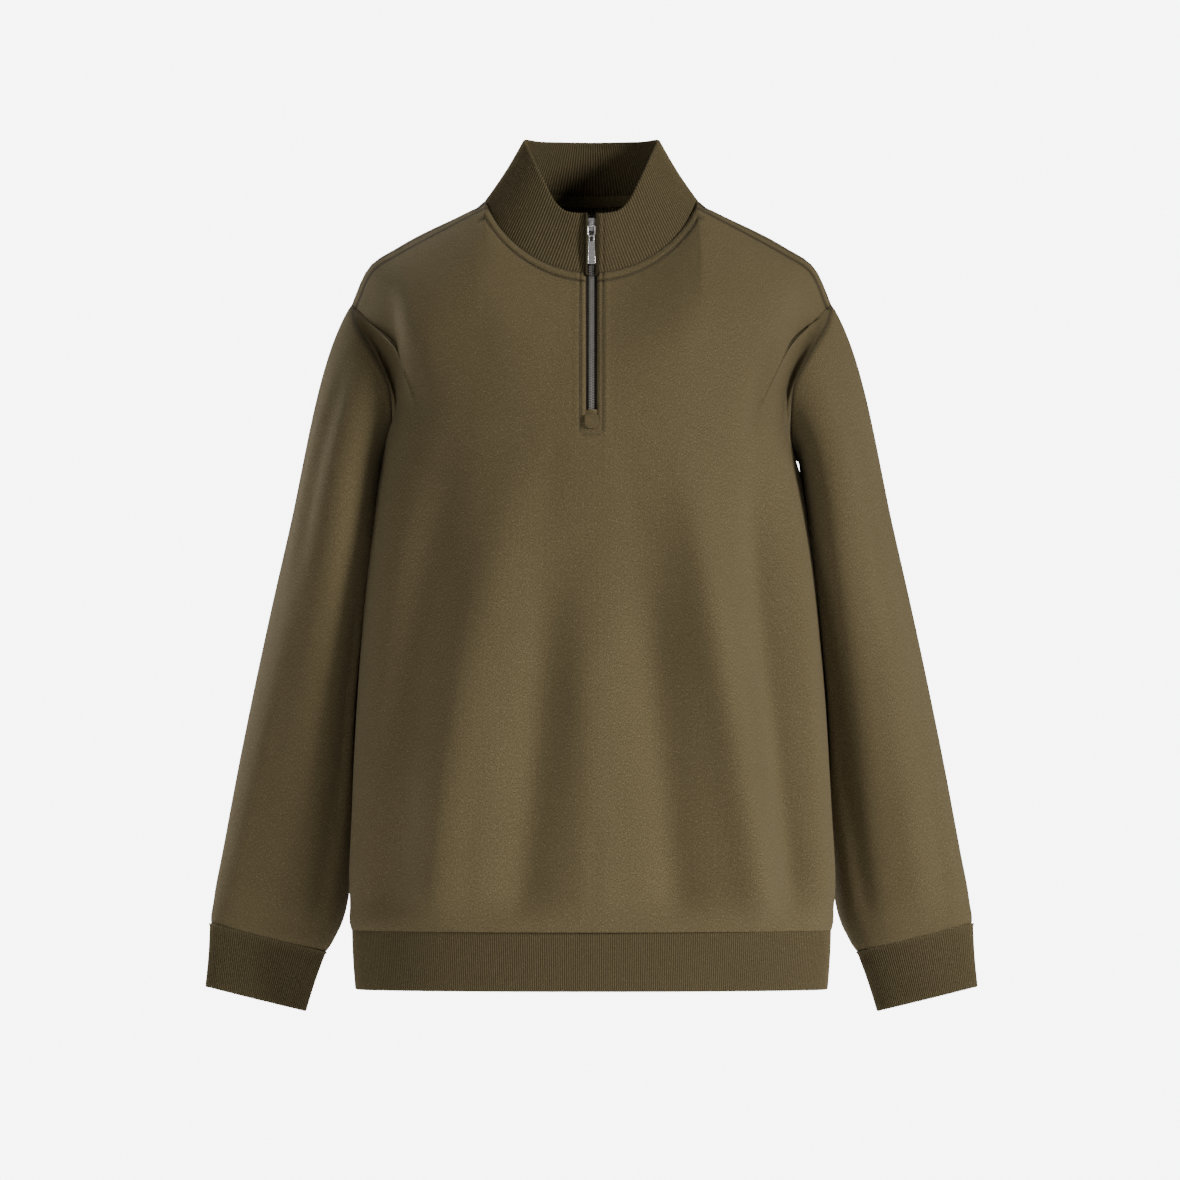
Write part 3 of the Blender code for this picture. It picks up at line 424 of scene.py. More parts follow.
# %% [markdown]
# ## From grids to cloth
# Each sheet is a grid of points: rows run up the garment and columns run round it. `cloth`
# turns an outer and an inner grid into one closed wall, and gives it a map in metres along
# the cloth, which the flecks and stitches follow. A tube joins its last column to its first.

# %% Grid, wall and map
def normals(grid, closed=False):
    """The cross product of the steps round and up the grid, made one unit long."""
    if closed:
        around = np.roll(grid, -1, 1) - np.roll(grid, 1, 1)
    else:
        around = np.gradient(grid, axis=1)
    return unit(np.cross(around, np.gradient(grid, axis=0)))


def grid_map(grid, closed):
    """Each point's way round its row and up its column, in metres along the cloth."""
    if closed:
        grid = np.concatenate([grid, grid[:, :1]], 1)
    u, v = way_along(grid, 1), way_along(grid, 0)
    u = u - u[:, grid.shape[1] // 2 : grid.shape[1] // 2 + 1]
    return np.stack([u, v], -1) * MM


def quads(rows, cols, wrap):
    """Corner numbers of each cell of a grid, and the same cells on a grid whose last
    column isn't joined to its first."""
    r, c = np.meshgrid(np.arange(rows - 1), np.arange(cols if wrap else cols - 1), indexing="ij")
    corners = ((r, c), (r, c + 1), (r + 1, c + 1), (r + 1, c))
    cells = np.stack([a * cols + b % cols for a, b in corners], -1).reshape(-1, 4)
    places = np.stack([a * (cols + wrap) + b for a, b in corners], -1).reshape(-1, 4)
    return cells, places


def rims(cells, shift):
    """A wall between each edge that only one cell uses and the same edge of the inner grid."""
    a, b = cells.ravel(), np.roll(cells, -1, 1).ravel()
    forward, back = a * shift + b, b * shift + a
    lone = ~np.isin(forward, back)
    a, b = a[lone], b[lone]
    return np.stack([b, a, a + shift, b + shift], -1), lone


def add_object(name, data):
    """An object at the origin that shows a mesh, a lamp or a camera."""
    made = bpy.data.objects.new(name, data)
    bpy.context.scene.collection.objects.link(made)
    return made


def fasten(piece, slot, *nodes, body="garment"):
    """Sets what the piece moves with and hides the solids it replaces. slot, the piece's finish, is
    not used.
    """
    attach(piece, body)
    if nodes:
        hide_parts(*nodes)


def mesh_piece(name, points, faces, material, face_map=None, crest_and_painted_shade=None, sharp=50):
    """A mesh from points in millimetres, turned outwards, with its map and its painted shade
    attribute.
    """
    used = np.unique(faces)
    place = np.zeros(len(points), int)
    place[used] = np.arange(len(used))
    points, faces = points[used] * MM, place[faces]
    a, b, c = (points[faces[:, i]] for i in (0, 1, 2))
    d = points[faces[:, -1]]
    volume = (a * np.cross(b, c)).sum() + (a * np.cross(c, d)).sum()
    if volume < 0:
        faces = faces[:, ::-1]
        face_map = None if face_map is None else face_map[:, ::-1]
    mesh = bpy.data.meshes.new(name)
    mesh.from_pydata(points.tolist(), [], faces.tolist())
    if face_map is not None:
        layer = mesh.uv_layers.new(name="cloth")
        layer.data.foreach_set("uv", face_map.reshape(-1).astype(np.float32))
    if crest_and_painted_shade is not None:
        values = mesh.attributes.new("rib", "FLOAT", "POINT")
        values.data.foreach_set("value", crest_and_painted_shade[used].astype(np.float32))
    mesh.shade_smooth()
    mesh.set_sharp_from_angle(angle=math.radians(sharp))
    mesh.materials.append(material)
    return add_object(name, mesh)


def cloth(name, outer, inner, material, closed=False, skip=None, crest_and_painted_shade=None):
    """A closed wall between an outer and an inner grid. skip marks cells left open."""
    rows, cols = outer.shape[:2]
    cells, places = quads(rows, cols, closed)
    if skip is not None:
        cells, places = cells[~skip.ravel()], places[~skip.ravel()]
    shift = rows * cols
    edge, lone = rims(cells, shift)
    cell_map = grid_map(outer, closed).reshape(-1, 2)[places]
    a, b = (corners.reshape(-1, 2)[lone] for corners in (cell_map, np.roll(cell_map, -1, 1)))
    edge_map = np.stack([b, a, a, b], 1)
    faces = np.concatenate([cells, cells[:, ::-1] + shift, edge])
    face_map = np.concatenate([cell_map, cell_map[:, ::-1], edge_map])
    points = np.concatenate([outer.reshape(-1, 3), inner.reshape(-1, 3)])
    # the painted shade, the same on both faces of the wall
    both = None if crest_and_painted_shade is None else np.concatenate([crest_and_painted_shade.ravel(), crest_and_painted_shade.ravel()])
    piece = mesh_piece(name, points, faces, material, face_map, both)
    print(name, len(faces), "faces")
    return piece


def area_of(grid, closed=False):
    """The sheet's area in square metres, from the cells' two diagonals."""
    cells, _ = quads(*grid.shape[:2], closed)
    p = grid.reshape(-1, 3)[cells] * MM
    return 0.5 * np.linalg.norm(np.cross(p[:, 2] - p[:, 0], p[:, 3] - p[:, 1]), axis=1).sum()

# %% [markdown]
# ## Laying out front and back
# A column starts on the hem seam, climbs the body's rings to the chest, then bends over to
# its place on the neckline, the shoulder seam or the armhole. Columns lie close together by
# the zip, and rows lie close together by the neckline, where sewing shows.

# %% Columns of a panel
FRONT_ARRIVALS = Table("step across back up", (
    (0, 0.00, 0.50, 0.86),
    (1, -0.10, 0.90, 0.42),
    (1.5, 0.00, 0.92, 0.38),
    (2, 0.35, 0.85, 0.30),
    (3, 0.75, 0.45, 0.40),
    (4, 0.85, 0.05, 0.50),
    (5, 0.70, 0.10, 0.70),
    (6, 0.45, 0.45, 0.77),
    (7, 0.15, 0.45, 0.88),
    (8, 0.00, 0.00, 1.00),
))
BACK_ARRIVALS = Table("step across back up", (
    (0, 0.00, -0.50, 0.86),
    (1, 0.00, -0.95, 0.00),
    (1.5, 0.00, -0.93, -0.34),
    (2, 0.35, -0.90, -0.24),
    (3, 0.80, -0.55, 0.10),
    (4, 0.90, -0.15, 0.35),
    (5, 0.75, -0.05, 0.65),
    (6, 0.45, -0.25, 0.83),
    (7, 0.15, -0.30, 0.93),
    (8, 0.00, 0.00, 1.00),
))
NECK_SHARES = np.concatenate([np.linspace(0, 0.13, 15), np.linspace(0.13, 1, 22)[1:]])
SHOULDER_SHARES = np.linspace(0, 1, 19)[1:]
ARMHOLE_SHARES = np.linspace(0, 1, 46)[1:]
NECK_SPAN, SHOULDER_SPAN, ARM_SPAN = 28, 20, 42


def panel_columns(side):
    """Each column's angle on the rings, its end on the panel's upper edge, and the
    direction in which it arrives there."""
    neck, shoulder, arm = NECK_SHARES, SHOULDER_SHARES, ARMHOLE_SHARES
    ring_angle = np.concatenate([
        NECK_SPAN * neck, NECK_SPAN + SHOULDER_SPAN * shoulder,
        NECK_SPAN + SHOULDER_SPAN + ARM_SPAN * arm,
    ])
    to_seam = SHOULDER_AT * neck if side < 0 else 180 - (180 - SHOULDER_AT) * neck
    arm_angle = 180 * arm if side < 0 else 360 - 180 * arm
    ends = np.concatenate([neckline(to_seam), shoulder_seam(shoulder), armhole(arm_angle)])
    ends[len(neck) - 1] = shoulder_seam(0.0)
    arrivals = FRONT_ARRIVALS if side < 0 else BACK_ARRIVALS
    step = np.concatenate([neck, 1 + shoulder, 2 + 6 * arm])
    arrive = unit(arrivals.curve(step, "across back up"))
    arrive *= (1.05 - 0.5 * ease((step - 2) / 2))[:, None]
    return ring_angle, ends, arrive


# %% A smooth panel, before its folds
BODY_ROWS = 62
YOKE_SHARES = np.concatenate([np.linspace(0, 0.93, 44)[1:], np.linspace(0.93, 1, 13)[1:]])


def plain_panel(side):
    """Rows from hem to neck: rings up to the chest, then cubic columns to the seams."""
    ring_angle, ends, arrive = panel_columns(side)
    heights = np.linspace(HEM_SEAM, CHEST, BODY_ROWS + 1)
    angles = ring_angle[None, :] + 0 * heights[:, None]
    if side < 0:
        neck = len(NECK_SHARES)
        slot_power = body_value("square", heights) / 2
        slot = np.degrees(np.arcsin((SLOT / body_value("half_width", heights)) ** slot_power))
        angles[:, :neck] += slot[:, None] * (1 - NECK_SHARES)
        neck_slot = np.degrees(np.arcsin(SLOT / NECK_HALF_WIDTH))
        ends[: neck - 1] = neckline(neck_slot + (SHOULDER_AT - neck_slot) * NECK_SHARES[:-1])
    rings = body_ring(angles, heights[:, None], side)
    above, below = (body_ring(angles[-1], CHEST + step, side) for step in (4.0, -4.0))
    leave = unit(above - below)
    chord = np.linalg.norm(ends - rings[-1], axis=1)[:, None]
    if side < 0:
        leave[:3, 0] = 0.0
    yoke = hermite(rings[-1], ends, leave * chord * 1.05, arrive * chord, YOKE_SHARES[:, None])
    half = np.concatenate([rings, yoke])
    mirrored = half[:, ::-1] * (-1, 1, 1)
    if side > 0:
        return np.concatenate([mirrored[:, :-1], half], 1)
    between = half[:, :1] * (np.array([[[-0.5], [0.0], [0.5]]]) * (1, 0, 0) + (0, 1, 1))
    return np.concatenate([mirrored, between, half], 1)


def seam_distance(grid):
    """How far each point lies from the panel's upper edge or its nearer side edge."""
    from_top, from_left = way_along(grid[::-1])[::-1], way_along(grid, 1)
    return np.minimum(from_top, np.minimum(from_left, from_left[:, -1:] - from_left))


# %% [markdown]
# ## Spreading the bends
# Where a column turns from the rings to a seam, the plain surface has a kink, and light shows
# every kink. Real fleece is stiff enough to spread a bend over some centimetres. So each row
# of points is solved as a small system of equations: stay close to the drawn surface, and
# bend as little as that allows. The seams themselves stay where they are.

# %% Spread the bends of a panel
SPREAD_LEAST, SPREAD_MOST, SPREAD_RATE = 3, 50, 0.55
NARROW_FROM, NARROW_OVER = 185, 60
AVERAGINGS, SEAM_HOLD = 40, 8


def evened(grid, side):
    """Cloth has no kinks: it spreads a bend along itself. Each row moves along its normal by
    the d that keeps (bend + d'')^2 + (d / spread^2)^2 least, and d is then averaged up and
    down the columns. The spread grows with the distance from the seams, which stay where
    they are, and is small by the armholes."""
    out = normals(grid) * -side
    steps = np.linalg.norm(np.diff(grid, axis=1), axis=-1)
    before, after = steps[:, :-1], steps[:, 1:]
    rows, cols = grid.shape[:2]
    second = np.zeros((rows, cols - 2, cols))
    c = np.arange(cols - 2)
    second[:, c, c] = 2 / (before * (before + after))
    second[:, c, c + 1] = -2 / (before * after)
    second[:, c, c + 2] = 2 / (after * (before + after))
    width = np.sqrt((before + after) / 2)[..., None]
    bend = ((second @ grid) * out[:, 1:-1]).sum(-1, keepdims=True) * width
    second = second * width
    from_seam = seam_distance(grid)
    inwards = ease((NARROW_FROM - np.abs(grid[..., 0])) / NARROW_OVER)
    spread = np.clip(SPREAD_RATE * from_seam * inwards, SPREAD_LEAST, SPREAD_MOST)
    span = np.gradient(way_along(grid, 1), axis=1)
    turned = second.transpose(0, 2, 1)
    system = turned @ second + (span / spread**4)[..., None] * np.eye(cols)
    moved = np.linalg.solve(system, -turned @ bend)[..., 0]
    for _ in range(AVERAGINGS):
        moved[1:-1] = (moved[2:] + moved[:-2]) / 4 + moved[1:-1] / 2
    return grid + out * (moved * ease(from_seam / SEAM_HOLD))[..., None]


plain_front, plain_back = evened(plain_panel(-1), -1), evened(plain_panel(1), 1)
print("front grid", plain_front.shape, "back grid", plain_back.shape)

# %% [markdown]
# ## Folds and sewing
# The long folds hang from chest and underarm to the hem, each a soft bell across a slanting
# line. Sewing leaves smaller marks: cloth stands a little proud beside each seam, and a
# topstitch sinks a narrow groove with a soft roll next to it. Both depend only on how far a
# point lies from a line, so `reach` measures that for a whole grid at once.

# %% Fold tables
FOLD_NAMES = "top_x top_z foot_x foot_z breadth height"
FRONT_FOLDS = Table(FOLD_NAMES, (
    (-194, -60, -178, -190, 14, -4.5),
    (194, -60, 180, -185, 14, -3.5),
    (-172, -150, -205, -640, 18, 3.5),
    (-132, -230, -196, -645, 21, -9.0),
    (-72, -250, -136, -650, 25, 8.5),
    (-28, -320, -60, -650, 23, -8.0),
    (-4, -390, 2, -655, 23, 5.5),
    (44, -320, 80, -655, 24, -13.0),
    (84, -240, 153, -655, 26, 15.0),
    (144, -240, 186, -640, 16, -10.5),
    (180, -200, 204, -640, 11, 3.0),
))
BACK_FOLDS = Table(FOLD_NAMES, (
    (-190, -75, -180, -200, 14, -4.0),
    (188, -75, 180, -205, 14, -5.0),
    (-120, -300, -150, -640, 30, 5.0),
    (-70, -360, -85, -650, 26, -6.0),
    (-10, -300, -18, -655, 34, 4.0),
    (62, -340, 84, -650, 27, -6.0),
    (118, -290, 150, -655, 30, 5.5),
    (172, -280, 198, -640, 20, -4.5),
))
FRONT_CREASES = Table(FOLD_NAMES, (
    (-168, -118, -150, -205, 9, -1.3),
    (166, -120, 146, -215, 9, -1.5),
    (-30, -205, -44, -300, 12, -0.9),
    (26, -210, 44, -315, 13, -1.1),
    (-152, -420, -176, -600, 10, -1.4),
    (-86, -470, -104, -650, 10, 1.3),
    (4, -560, 2, -662, 9, -1.1),
    (52, -540, 64, -660, 10, 1.1),
    (150, -420, 176, -600, 10, 1.4),
    (188, -430, 204, -590, 8, -1.2),
    (88, -270, 150, -650, 14, 4.0),
    (186, -260, 214, -640, 10, 5.0),
    (-158, -80, -166, -560, 40, 6.0),
    (150, -150, 162, -340, 13, -2.5),
    (-104, -330, -152, -650, 17, 3.0),
    (-44, -340, -70, -650, 15, -4.0),
    (-186, -80, -178, -205, 9, -3.0),
))
BACK_CREASES = Table(FOLD_NAMES, (
    (-150, -120, -128, -230, 12, -1.6),
    (148, -125, 124, -240, 12, -1.8),
    (-110, -470, -120, -650, 10, -1.3),
    (-40, -520, -46, -655, 10, 1.2),
    (34, -500, 44, -655, 11, -1.2),
    (96, -480, 112, -650, 10, 1.4),
    (-176, -400, -192, -600, 10, 1.2),
))
FOLD_FADE = 30.0


def fold_height(x, z, folds):
    """The sum of height * bell((x - line) / breadth), each fading in and out along its line."""
    x, z = x[..., None], z[..., None]
    t = (folds["top_z"] - z) / (folds["top_z"] - folds["foot_z"])
    line = folds["top_x"] + (folds["foot_x"] - folds["top_x"]) * np.clip(t, -0.2, 1.1)
    fade = ease((t + 0.12) / 0.45) * ease((1.14 - t) / 0.22)
    total = (folds["height"] * fade * bell((x - line) / folds["breadth"])).sum(-1)
    return total * ease((z[..., 0] - HEM_SEAM) / 34)


def reach(points, line):
    """Distance from each point to the nearest point of a line, by |p|^2 + |q|^2 - 2 p.q."""
    flat = points.reshape(-1, points.shape[-1])
    square = (flat**2).sum(1)[:, None] + (line**2).sum(1) - 2 * flat @ line.T
    return np.sqrt(np.maximum(square.min(1), 0)).reshape(points.shape[:-1])


def beside_seam(d, height=0.9):
    """Cloth beside a seam: it rises within 1.5 mm and sinks back over some 15 mm."""
    return height * (1 - np.exp(-d / 1.2)) * np.exp(-d / 9.0)


print("front folds", len(FRONT_FOLDS["height"]), "back folds", len(BACK_FOLDS["height"]))

# %% Lines of sewing
def both_sides(line):
    """A line on +X with its mirror image before it."""
    return np.concatenate([line[::-1] * (-1, 1, 1), line])


front_neck_line = both_sides(neckline(np.linspace(0, SHOULDER_AT, 200)))
back_neck_line = both_sides(neckline(np.linspace(SHOULDER_AT, 180, 200)))
shoulder_lines = both_sides(shoulder_seam(np.linspace(0, 1, 120)))
other_seams = np.concatenate([shoulder_lines, both_sides(armhole(np.linspace(0, 360, 361)))])

# %% The stitched frame round the zip
PLACKET_HALF, PLACKET_TOP, PLACKET_FOOT, PLACKET_CORNER = 10.3, -66, -216.0, 3.0
corner_z = PLACKET_FOOT + PLACKET_CORNER
placket_side = np.stack([np.full(160, PLACKET_HALF), np.linspace(PLACKET_TOP, corner_z, 160)], 1)
corner = np.radians(np.linspace(0, -90, 8))
placket_turn = np.stack([np.cos(corner) - 1, np.sin(corner)], 1) * PLACKET_CORNER
placket_turn += (PLACKET_HALF, corner_z)
base_x = np.linspace(PLACKET_HALF - PLACKET_CORNER, 0, 8)
placket_base = np.stack([base_x, np.full(8, PLACKET_FOOT)], 1)
placket_half_line = np.concatenate([placket_side, placket_turn, placket_base[1:]])
placket_line = np.concatenate([placket_half_line, placket_half_line[::-1][1:] * (-1, 1)])
print("placket stitch line points", len(placket_line))

# %% [markdown]
# ## Front and back
# Each panel takes its folds, then its sewing: the roll between the collar seam and its
# topstitch, 9 mm below, the stitched frame round the zip, and the zip's two edges turned
# in. The cloth is a wall 1.8 mm thick drawn inwards from that face. On a real sweatshirt the
# shoulder seam lies a little in front of the shoulder, so the front panel shows it 12 mm
# forward of the line where the two panels meet.

# %% What sewing does to the cloth
NECK_ROLL, ROLL_HEIGHT, STITCH_DEPTH = 9.0, 1.3, 0.95
SEAM_FORWARD = 12.0


def neck_sewing(d):
    """By the distance from the collar seam: a roll, its stitch groove and a low swell."""
    roll = ROLL_HEIGHT * np.sin(np.pi * np.clip(d / NECK_ROLL, 0, 1)) ** 0.7
    return roll - STITCH_DEPTH * bell((d - NECK_ROLL) / 1.3) + 0.3 * bell((d - 12.5) / 2.6)


def hem_sewing(up):
    """By the height over the hem seam: drawn in at the seam and full 9 mm above it."""
    return 1.5 * bell((up - 9) / 9) - 0.5 * bell(up / 3)


def zip_sewing(height, plain, from_frame):
    """The height is flattened beside the slot. The frame's stitches sink in, the cloth swells
    inside and just outside the frame, and the slot's own edges turn in."""
    x, z = np.abs(plain[..., 0]), plain[..., 2]
    above = ease((z - ZIP_FOOT + 6) / 6)
    height = height * (1 - 0.7 * bell((x - SLOT) / 4) * above) - 0.7 * bell(from_frame / 1.1)
    inside = (x < PLACKET_HALF) & (z > PLACKET_FOOT)
    height += 0.45 * inside * np.clip(from_frame / 2, 0, 1)
    height += 0.35 * bell((x - 13.5) / 2.4) * ease((z - PLACKET_FOOT + 4) / 6)
    return height - 1.7 * bell((x - SLOT) / 1.2) * above


print("neck roll at its middle", round(float(neck_sewing(NECK_ROLL / 2)), 2), "mm")

# %% Dress the panels
CLOTH_THICK, CREASE_FADE = 1.8, 12.0


def dressed_panel(plain, side, folds, creases, neck_line):
    """The plain panel moved along its normal by the folds and the sewing, its inner face,
    and how well lit each point is: 1 on open cloth and less in seams and grooves."""
    out = normals(plain) * -side
    x, z, from_seam = plain[..., 0], plain[..., 2], seam_distance(plain)
    height = fold_height(x, z, folds) * ease(from_seam / FOLD_FADE)
    height += fold_height(x, z, creases) * ease(from_seam / CREASE_FADE)
    from_neck, from_seams = reach(plain, neck_line), reach(plain, other_seams)
    if side < 0:
        drawn_seam = np.abs(reach(plain, shoulder_lines) - SEAM_FORWARD)
        from_seams = np.minimum(from_seams, drawn_seam / 1.8)
    height += neck_sewing(from_neck) + beside_seam(from_seams) + hem_sewing(z - HEM_SEAM)
    lit = 1 - 0.9 * bell((from_neck - NECK_ROLL) / 1.1) - 0.95 * bell(from_neck / 1.5)
    lit -= 0.9 * bell(from_seams / 1.3)
    if side < 0:
        from_frame = reach(plain[..., [0, 2]], placket_line)
        height = zip_sewing(height, plain, from_frame)
        lit -= 0.7 * bell(from_frame / 0.9)
    outer = plain + out * height[..., None]
    return outer, outer - out * CLOTH_THICK, np.clip(lit, 0, 1)


front_face, front_lining, front_lit = dressed_panel(
    plain_front, -1, FRONT_FOLDS, FRONT_CREASES, front_neck_line
)
back_face, back_lining, back_lit = dressed_panel(
    plain_back, 1, BACK_FOLDS, BACK_CREASES, back_neck_line
)
middle = front_face.shape[1] // 2
open_slot = np.zeros((front_face.shape[0] - 1, front_face.shape[1] - 1), bool)
open_slot[:, middle - 2 : middle + 2] = plain_front[:-1, middle, None, 2] > ZIP_FOOT
front_panel = cloth(
    "front_panel", front_face, front_lining, fleece, skip=open_slot, crest_and_painted_shade=front_lit
)
back_panel = cloth("back_panel", back_face, back_lining, fleece, crest_and_painted_shade=back_lit)
fasten(front_panel, "olive_fleece", "front")
fasten(back_panel, "olive_fleece", "back")
front_area, back_area = area_of(plain_front), area_of(plain_back)
print("areas in m2", round(front_area, 3), round(back_area, 3))

# %% [markdown]
# ## Sleeves
# A sleeve is a tube: its cap leaves the armhole outwards and down, and flattened ovals
# carry it to the cuff, leaning outwards as the arm hangs. Below the armpit its inner side is
# held just clear of the body. The cloth gathers a little above the cuff.

# %% Sleeve sections
SLEEVE = Table("outer_x outer_z y half_across half_depth lean", (
    (278.7, -305.0, 30, 46.0, 82, 13.0),
    (295.2, -377.0, 36, 51.0, 73, 13.0),
    (311.2, -451.0, 41, 55.5, 63, 13.0),
    (326.0, -524.0, 44, 59.0, 52, 13.0),
    (339.9, -598.0, 46, 61.0, 41, 13.3),
    (347.4, -637.0, 46, 60.5, 33, 13.6),
    (350.4, -668.3, 45, 53.4, 20, 13.9),
))
SLEEVE_CLEARANCE, ARMPIT_REACH = 2.6, -222.0
SLEEVE_AROUND, CAP_ROWS, ARM_ROWS = 144, 26, 80


def sleeve_section(angle, at):
    """A leaning oval: across = half_across (cos a - 1) from the outer edge, depth sin a."""
    rows = np.arange(len(SLEEVE["y"]), dtype=float)
    value = {c: smooth(rows, SLEEVE[c], at) for c in SLEEVE.columns}
    lean, a = np.radians(value["lean"]), np.radians(angle)
    across = value["half_across"] * (np.cos(a) - 1)
    x = value["outer_x"] + across * np.cos(lean)
    z = value["outer_z"] + across * np.sin(lean)
    return np.stack(np.broadcast_arrays(x, value["y"] - value["half_depth"] * np.sin(a), z), -1)


def body_side(y, z):
    """How far out the body's side stands at a place beside it."""
    z = np.clip(z, -671, -240)
    seam, power = body_value("seam", z), body_value("square", z)
    depth = np.where(y < seam, body_value("front", z), body_value("back", z))
    inside = np.clip(1 - np.abs((y - seam) / depth) ** power, 0, 1)
    return body_value("half_width", z) * inside ** (1 / power)


def plain_sleeve():
    """Rows from armhole to cuff seam, for the sleeve on +X."""
    angle = np.arange(SLEEVE_AROUND) * 360.0 / SLEEVE_AROUND
    loop, first = armhole(angle), sleeve_section(angle, 0.0)
    a = np.radians(angle)
    behind = np.maximum(-np.sin(a), 0) * np.maximum(-np.cos(a), 0)
    leave = np.stack(
        [0.72 - 0.16 * np.cos(a) - 0.6 * behind, -0.22 * np.sin(a), -0.62 - 0.2 * np.cos(a)], -1
    )
    arrive = unit(sleeve_section(angle, 0.3) - first)
    chord = np.linalg.norm(first - loop, axis=1)[:, None]
    pace = (0.74 + 0.13 * np.cos(a) - 0.13 * np.cos(a) ** 2)[:, None]
    t = np.linspace(0, 1, CAP_ROWS + 1)[:-1]
    cap = hermite(loop, first, leave * chord * pace, arrive * chord, t[:, None])
    at = np.linspace(0, len(SLEEVE["y"]) - 1, ARM_ROWS + 1)
    grid = np.concatenate([cap, sleeve_section(angle[None, :], at[:, None])])
    free = grid[1:]
    below = ARMPIT_REACH - free[..., 2]
    limit = body_side(free[..., 1], free[..., 2]) + SLEEVE_CLEARANCE * ease(below / 24)
    free[..., 0] = np.where(below > 0, np.maximum(free[..., 0], limit), free[..., 0])
    return grid, angle


# %% Sleeve folds, and the two sleeves
SLEEVE_NAMES = "top_angle top foot_angle foot breadth height"
RIGHT_SLEEVE_FOLDS = Table(SLEEVE_NAMES, (
    (52, 20, 60, 300, 12, -2.2),
    (104, 70, 92, 420, 16, 2.6),
    (128, 120, 122, 520, 11, -3.0),
    (70, 250, 76, 560, 13, 2.0),
    (40, 330, 50, 570, 12, -2.0),
    (250, 40, 244, 360, 15, -3.0),
    (292, 120, 300, 520, 16, 2.6),
    (222, 260, 228, 560, 13, 2.4),
    (330, 60, 322, 330, 13, -1.8),
))
LEFT_SLEEVE_FOLDS = Table(SLEEVE_NAMES, (
    (44, 24, 50, 210, 9, -2.0),
    (30, 40, 36, 250, 9, 1.6),
    (96, 90, 100, 480, 17, 2.8),
    (130, 130, 126, 540, 12, -3.0),
    (66, 220, 60, 540, 13, -1.8),
    (256, 60, 250, 400, 15, -2.8),
    (286, 160, 296, 540, 16, 2.4),
    (215, 240, 222, 560, 12, 2.2),
    (334, 90, 326, 360, 12, -1.6),
))


def sleeve_fold_height(angle, down, folds):
    """The same soft bells as on the body, over the angle round and the way down the arm."""
    a, s = angle[..., None], down[..., None]
    t = (s - folds["top"]) / (folds["foot"] - folds["top"])
    line = folds["top_angle"] + (folds["foot_angle"] - folds["top_angle"]) * np.clip(t, -0.1, 1.1)
    fade = ease((t + 0.1) / 0.4) * ease((1.12 - t) / 0.4)
    apart = np.mod(a - line + 180, 360) - 180
    return (folds["height"] * fade * bell(apart / folds["breadth"])).sum(-1)


sleeve_plain, sleeve_angle = plain_sleeve()
sleeve_out = normals(sleeve_plain, True)
sleeve_down = way_along(sleeve_plain)
sleeve_left_over = sleeve_down[-1] - sleeve_down
body_gap = sleeve_plain[..., 0] - body_side(sleeve_plain[..., 1], sleeve_plain[..., 2])
free_of_body = ease((body_gap - 3) / 9)
sleeve_area = area_of(sleeve_plain, True)
sleeves = []
for name, sign, folds in (("right", 1, RIGHT_SLEEVE_FOLDS), ("left", -1, LEFT_SLEEVE_FOLDS)):
    height = sleeve_fold_height(sleeve_angle + 0 * sleeve_down, sleeve_down, folds)
    height *= ease(sleeve_down / 40) * ease(sleeve_left_over / 60)
    height += 0.8 * hem_sewing(sleeve_left_over)
    height = height * free_of_body + beside_seam(sleeve_down, 0.7)
    face = (sleeve_plain + sleeve_out * height[..., None]) * (sign, 1, 1)
    lining = face - sleeve_out * CLOTH_THICK * (sign, 1, 1)
    lit = 1 - 0.8 * bell(sleeve_down / 0.9)
    sleeve = cloth("sleeve_cloth_" + name, face, lining, fleece, closed=True, crest_and_painted_shade=lit)
    fasten(sleeve, "olive_fleece", "sleeve_upper_" + name, "sleeve_lower_" + name)
    sleeves.append(sleeve)
print("sleeve area in m2", round(sleeve_area, 3), "length", round(sleeve_down.max()))

# %% [markdown]
# ## Ribbed bands
# Collar, cuffs and hem band are one thing: a rib knit folded double along its free edge. So
# one function makes them all. It carries a section, up the outer face, round the fold and
# down the inner face, along the seam line, and raises a rounded ridge at every rib. The last
# few millimetres tuck inside the garment, as a seam allowance does.

# %% One function for all the bands
BAND_THICK, RIB_HEIGHT = 2.6, 0.62
TUCK, TUCK_OUTER, TUCK_INNER = 3.0, 1.6, 1.2


def section(height, thick, bulge, face_rows, fold_rows=6):
    """Heights, depths and the ribs' directions (up, out) along the section from the outer
    foot to the inner foot. The fold is a half circle of the wall's thickness."""
    r = thick / 2
    t = np.linspace(0, 1, face_rows)
    turn = np.linspace(0, np.pi, fold_rows + 2)[1:-1]
    face = (height - r) * t
    swell = bulge * np.sin(np.pi * t)
    fold_up, fold_out = height - r + r * np.sin(turn), -r + r * np.cos(turn)
    heights = np.concatenate([[-TUCK], face, fold_up, face[::-1], [-TUCK]])
    depths = np.concatenate([
        [-TUCK_OUTER], swell, fold_out, swell[::-1] - thick, [-thick - TUCK_INNER],
    ])
    up = np.concatenate([[0], 0 * t, np.sin(turn), 0 * t, [0]])
    out = np.concatenate([[0], 0 * t + 1, np.cos(turn), 0 * t - 1, [0]])
    return heights, depths, up, out


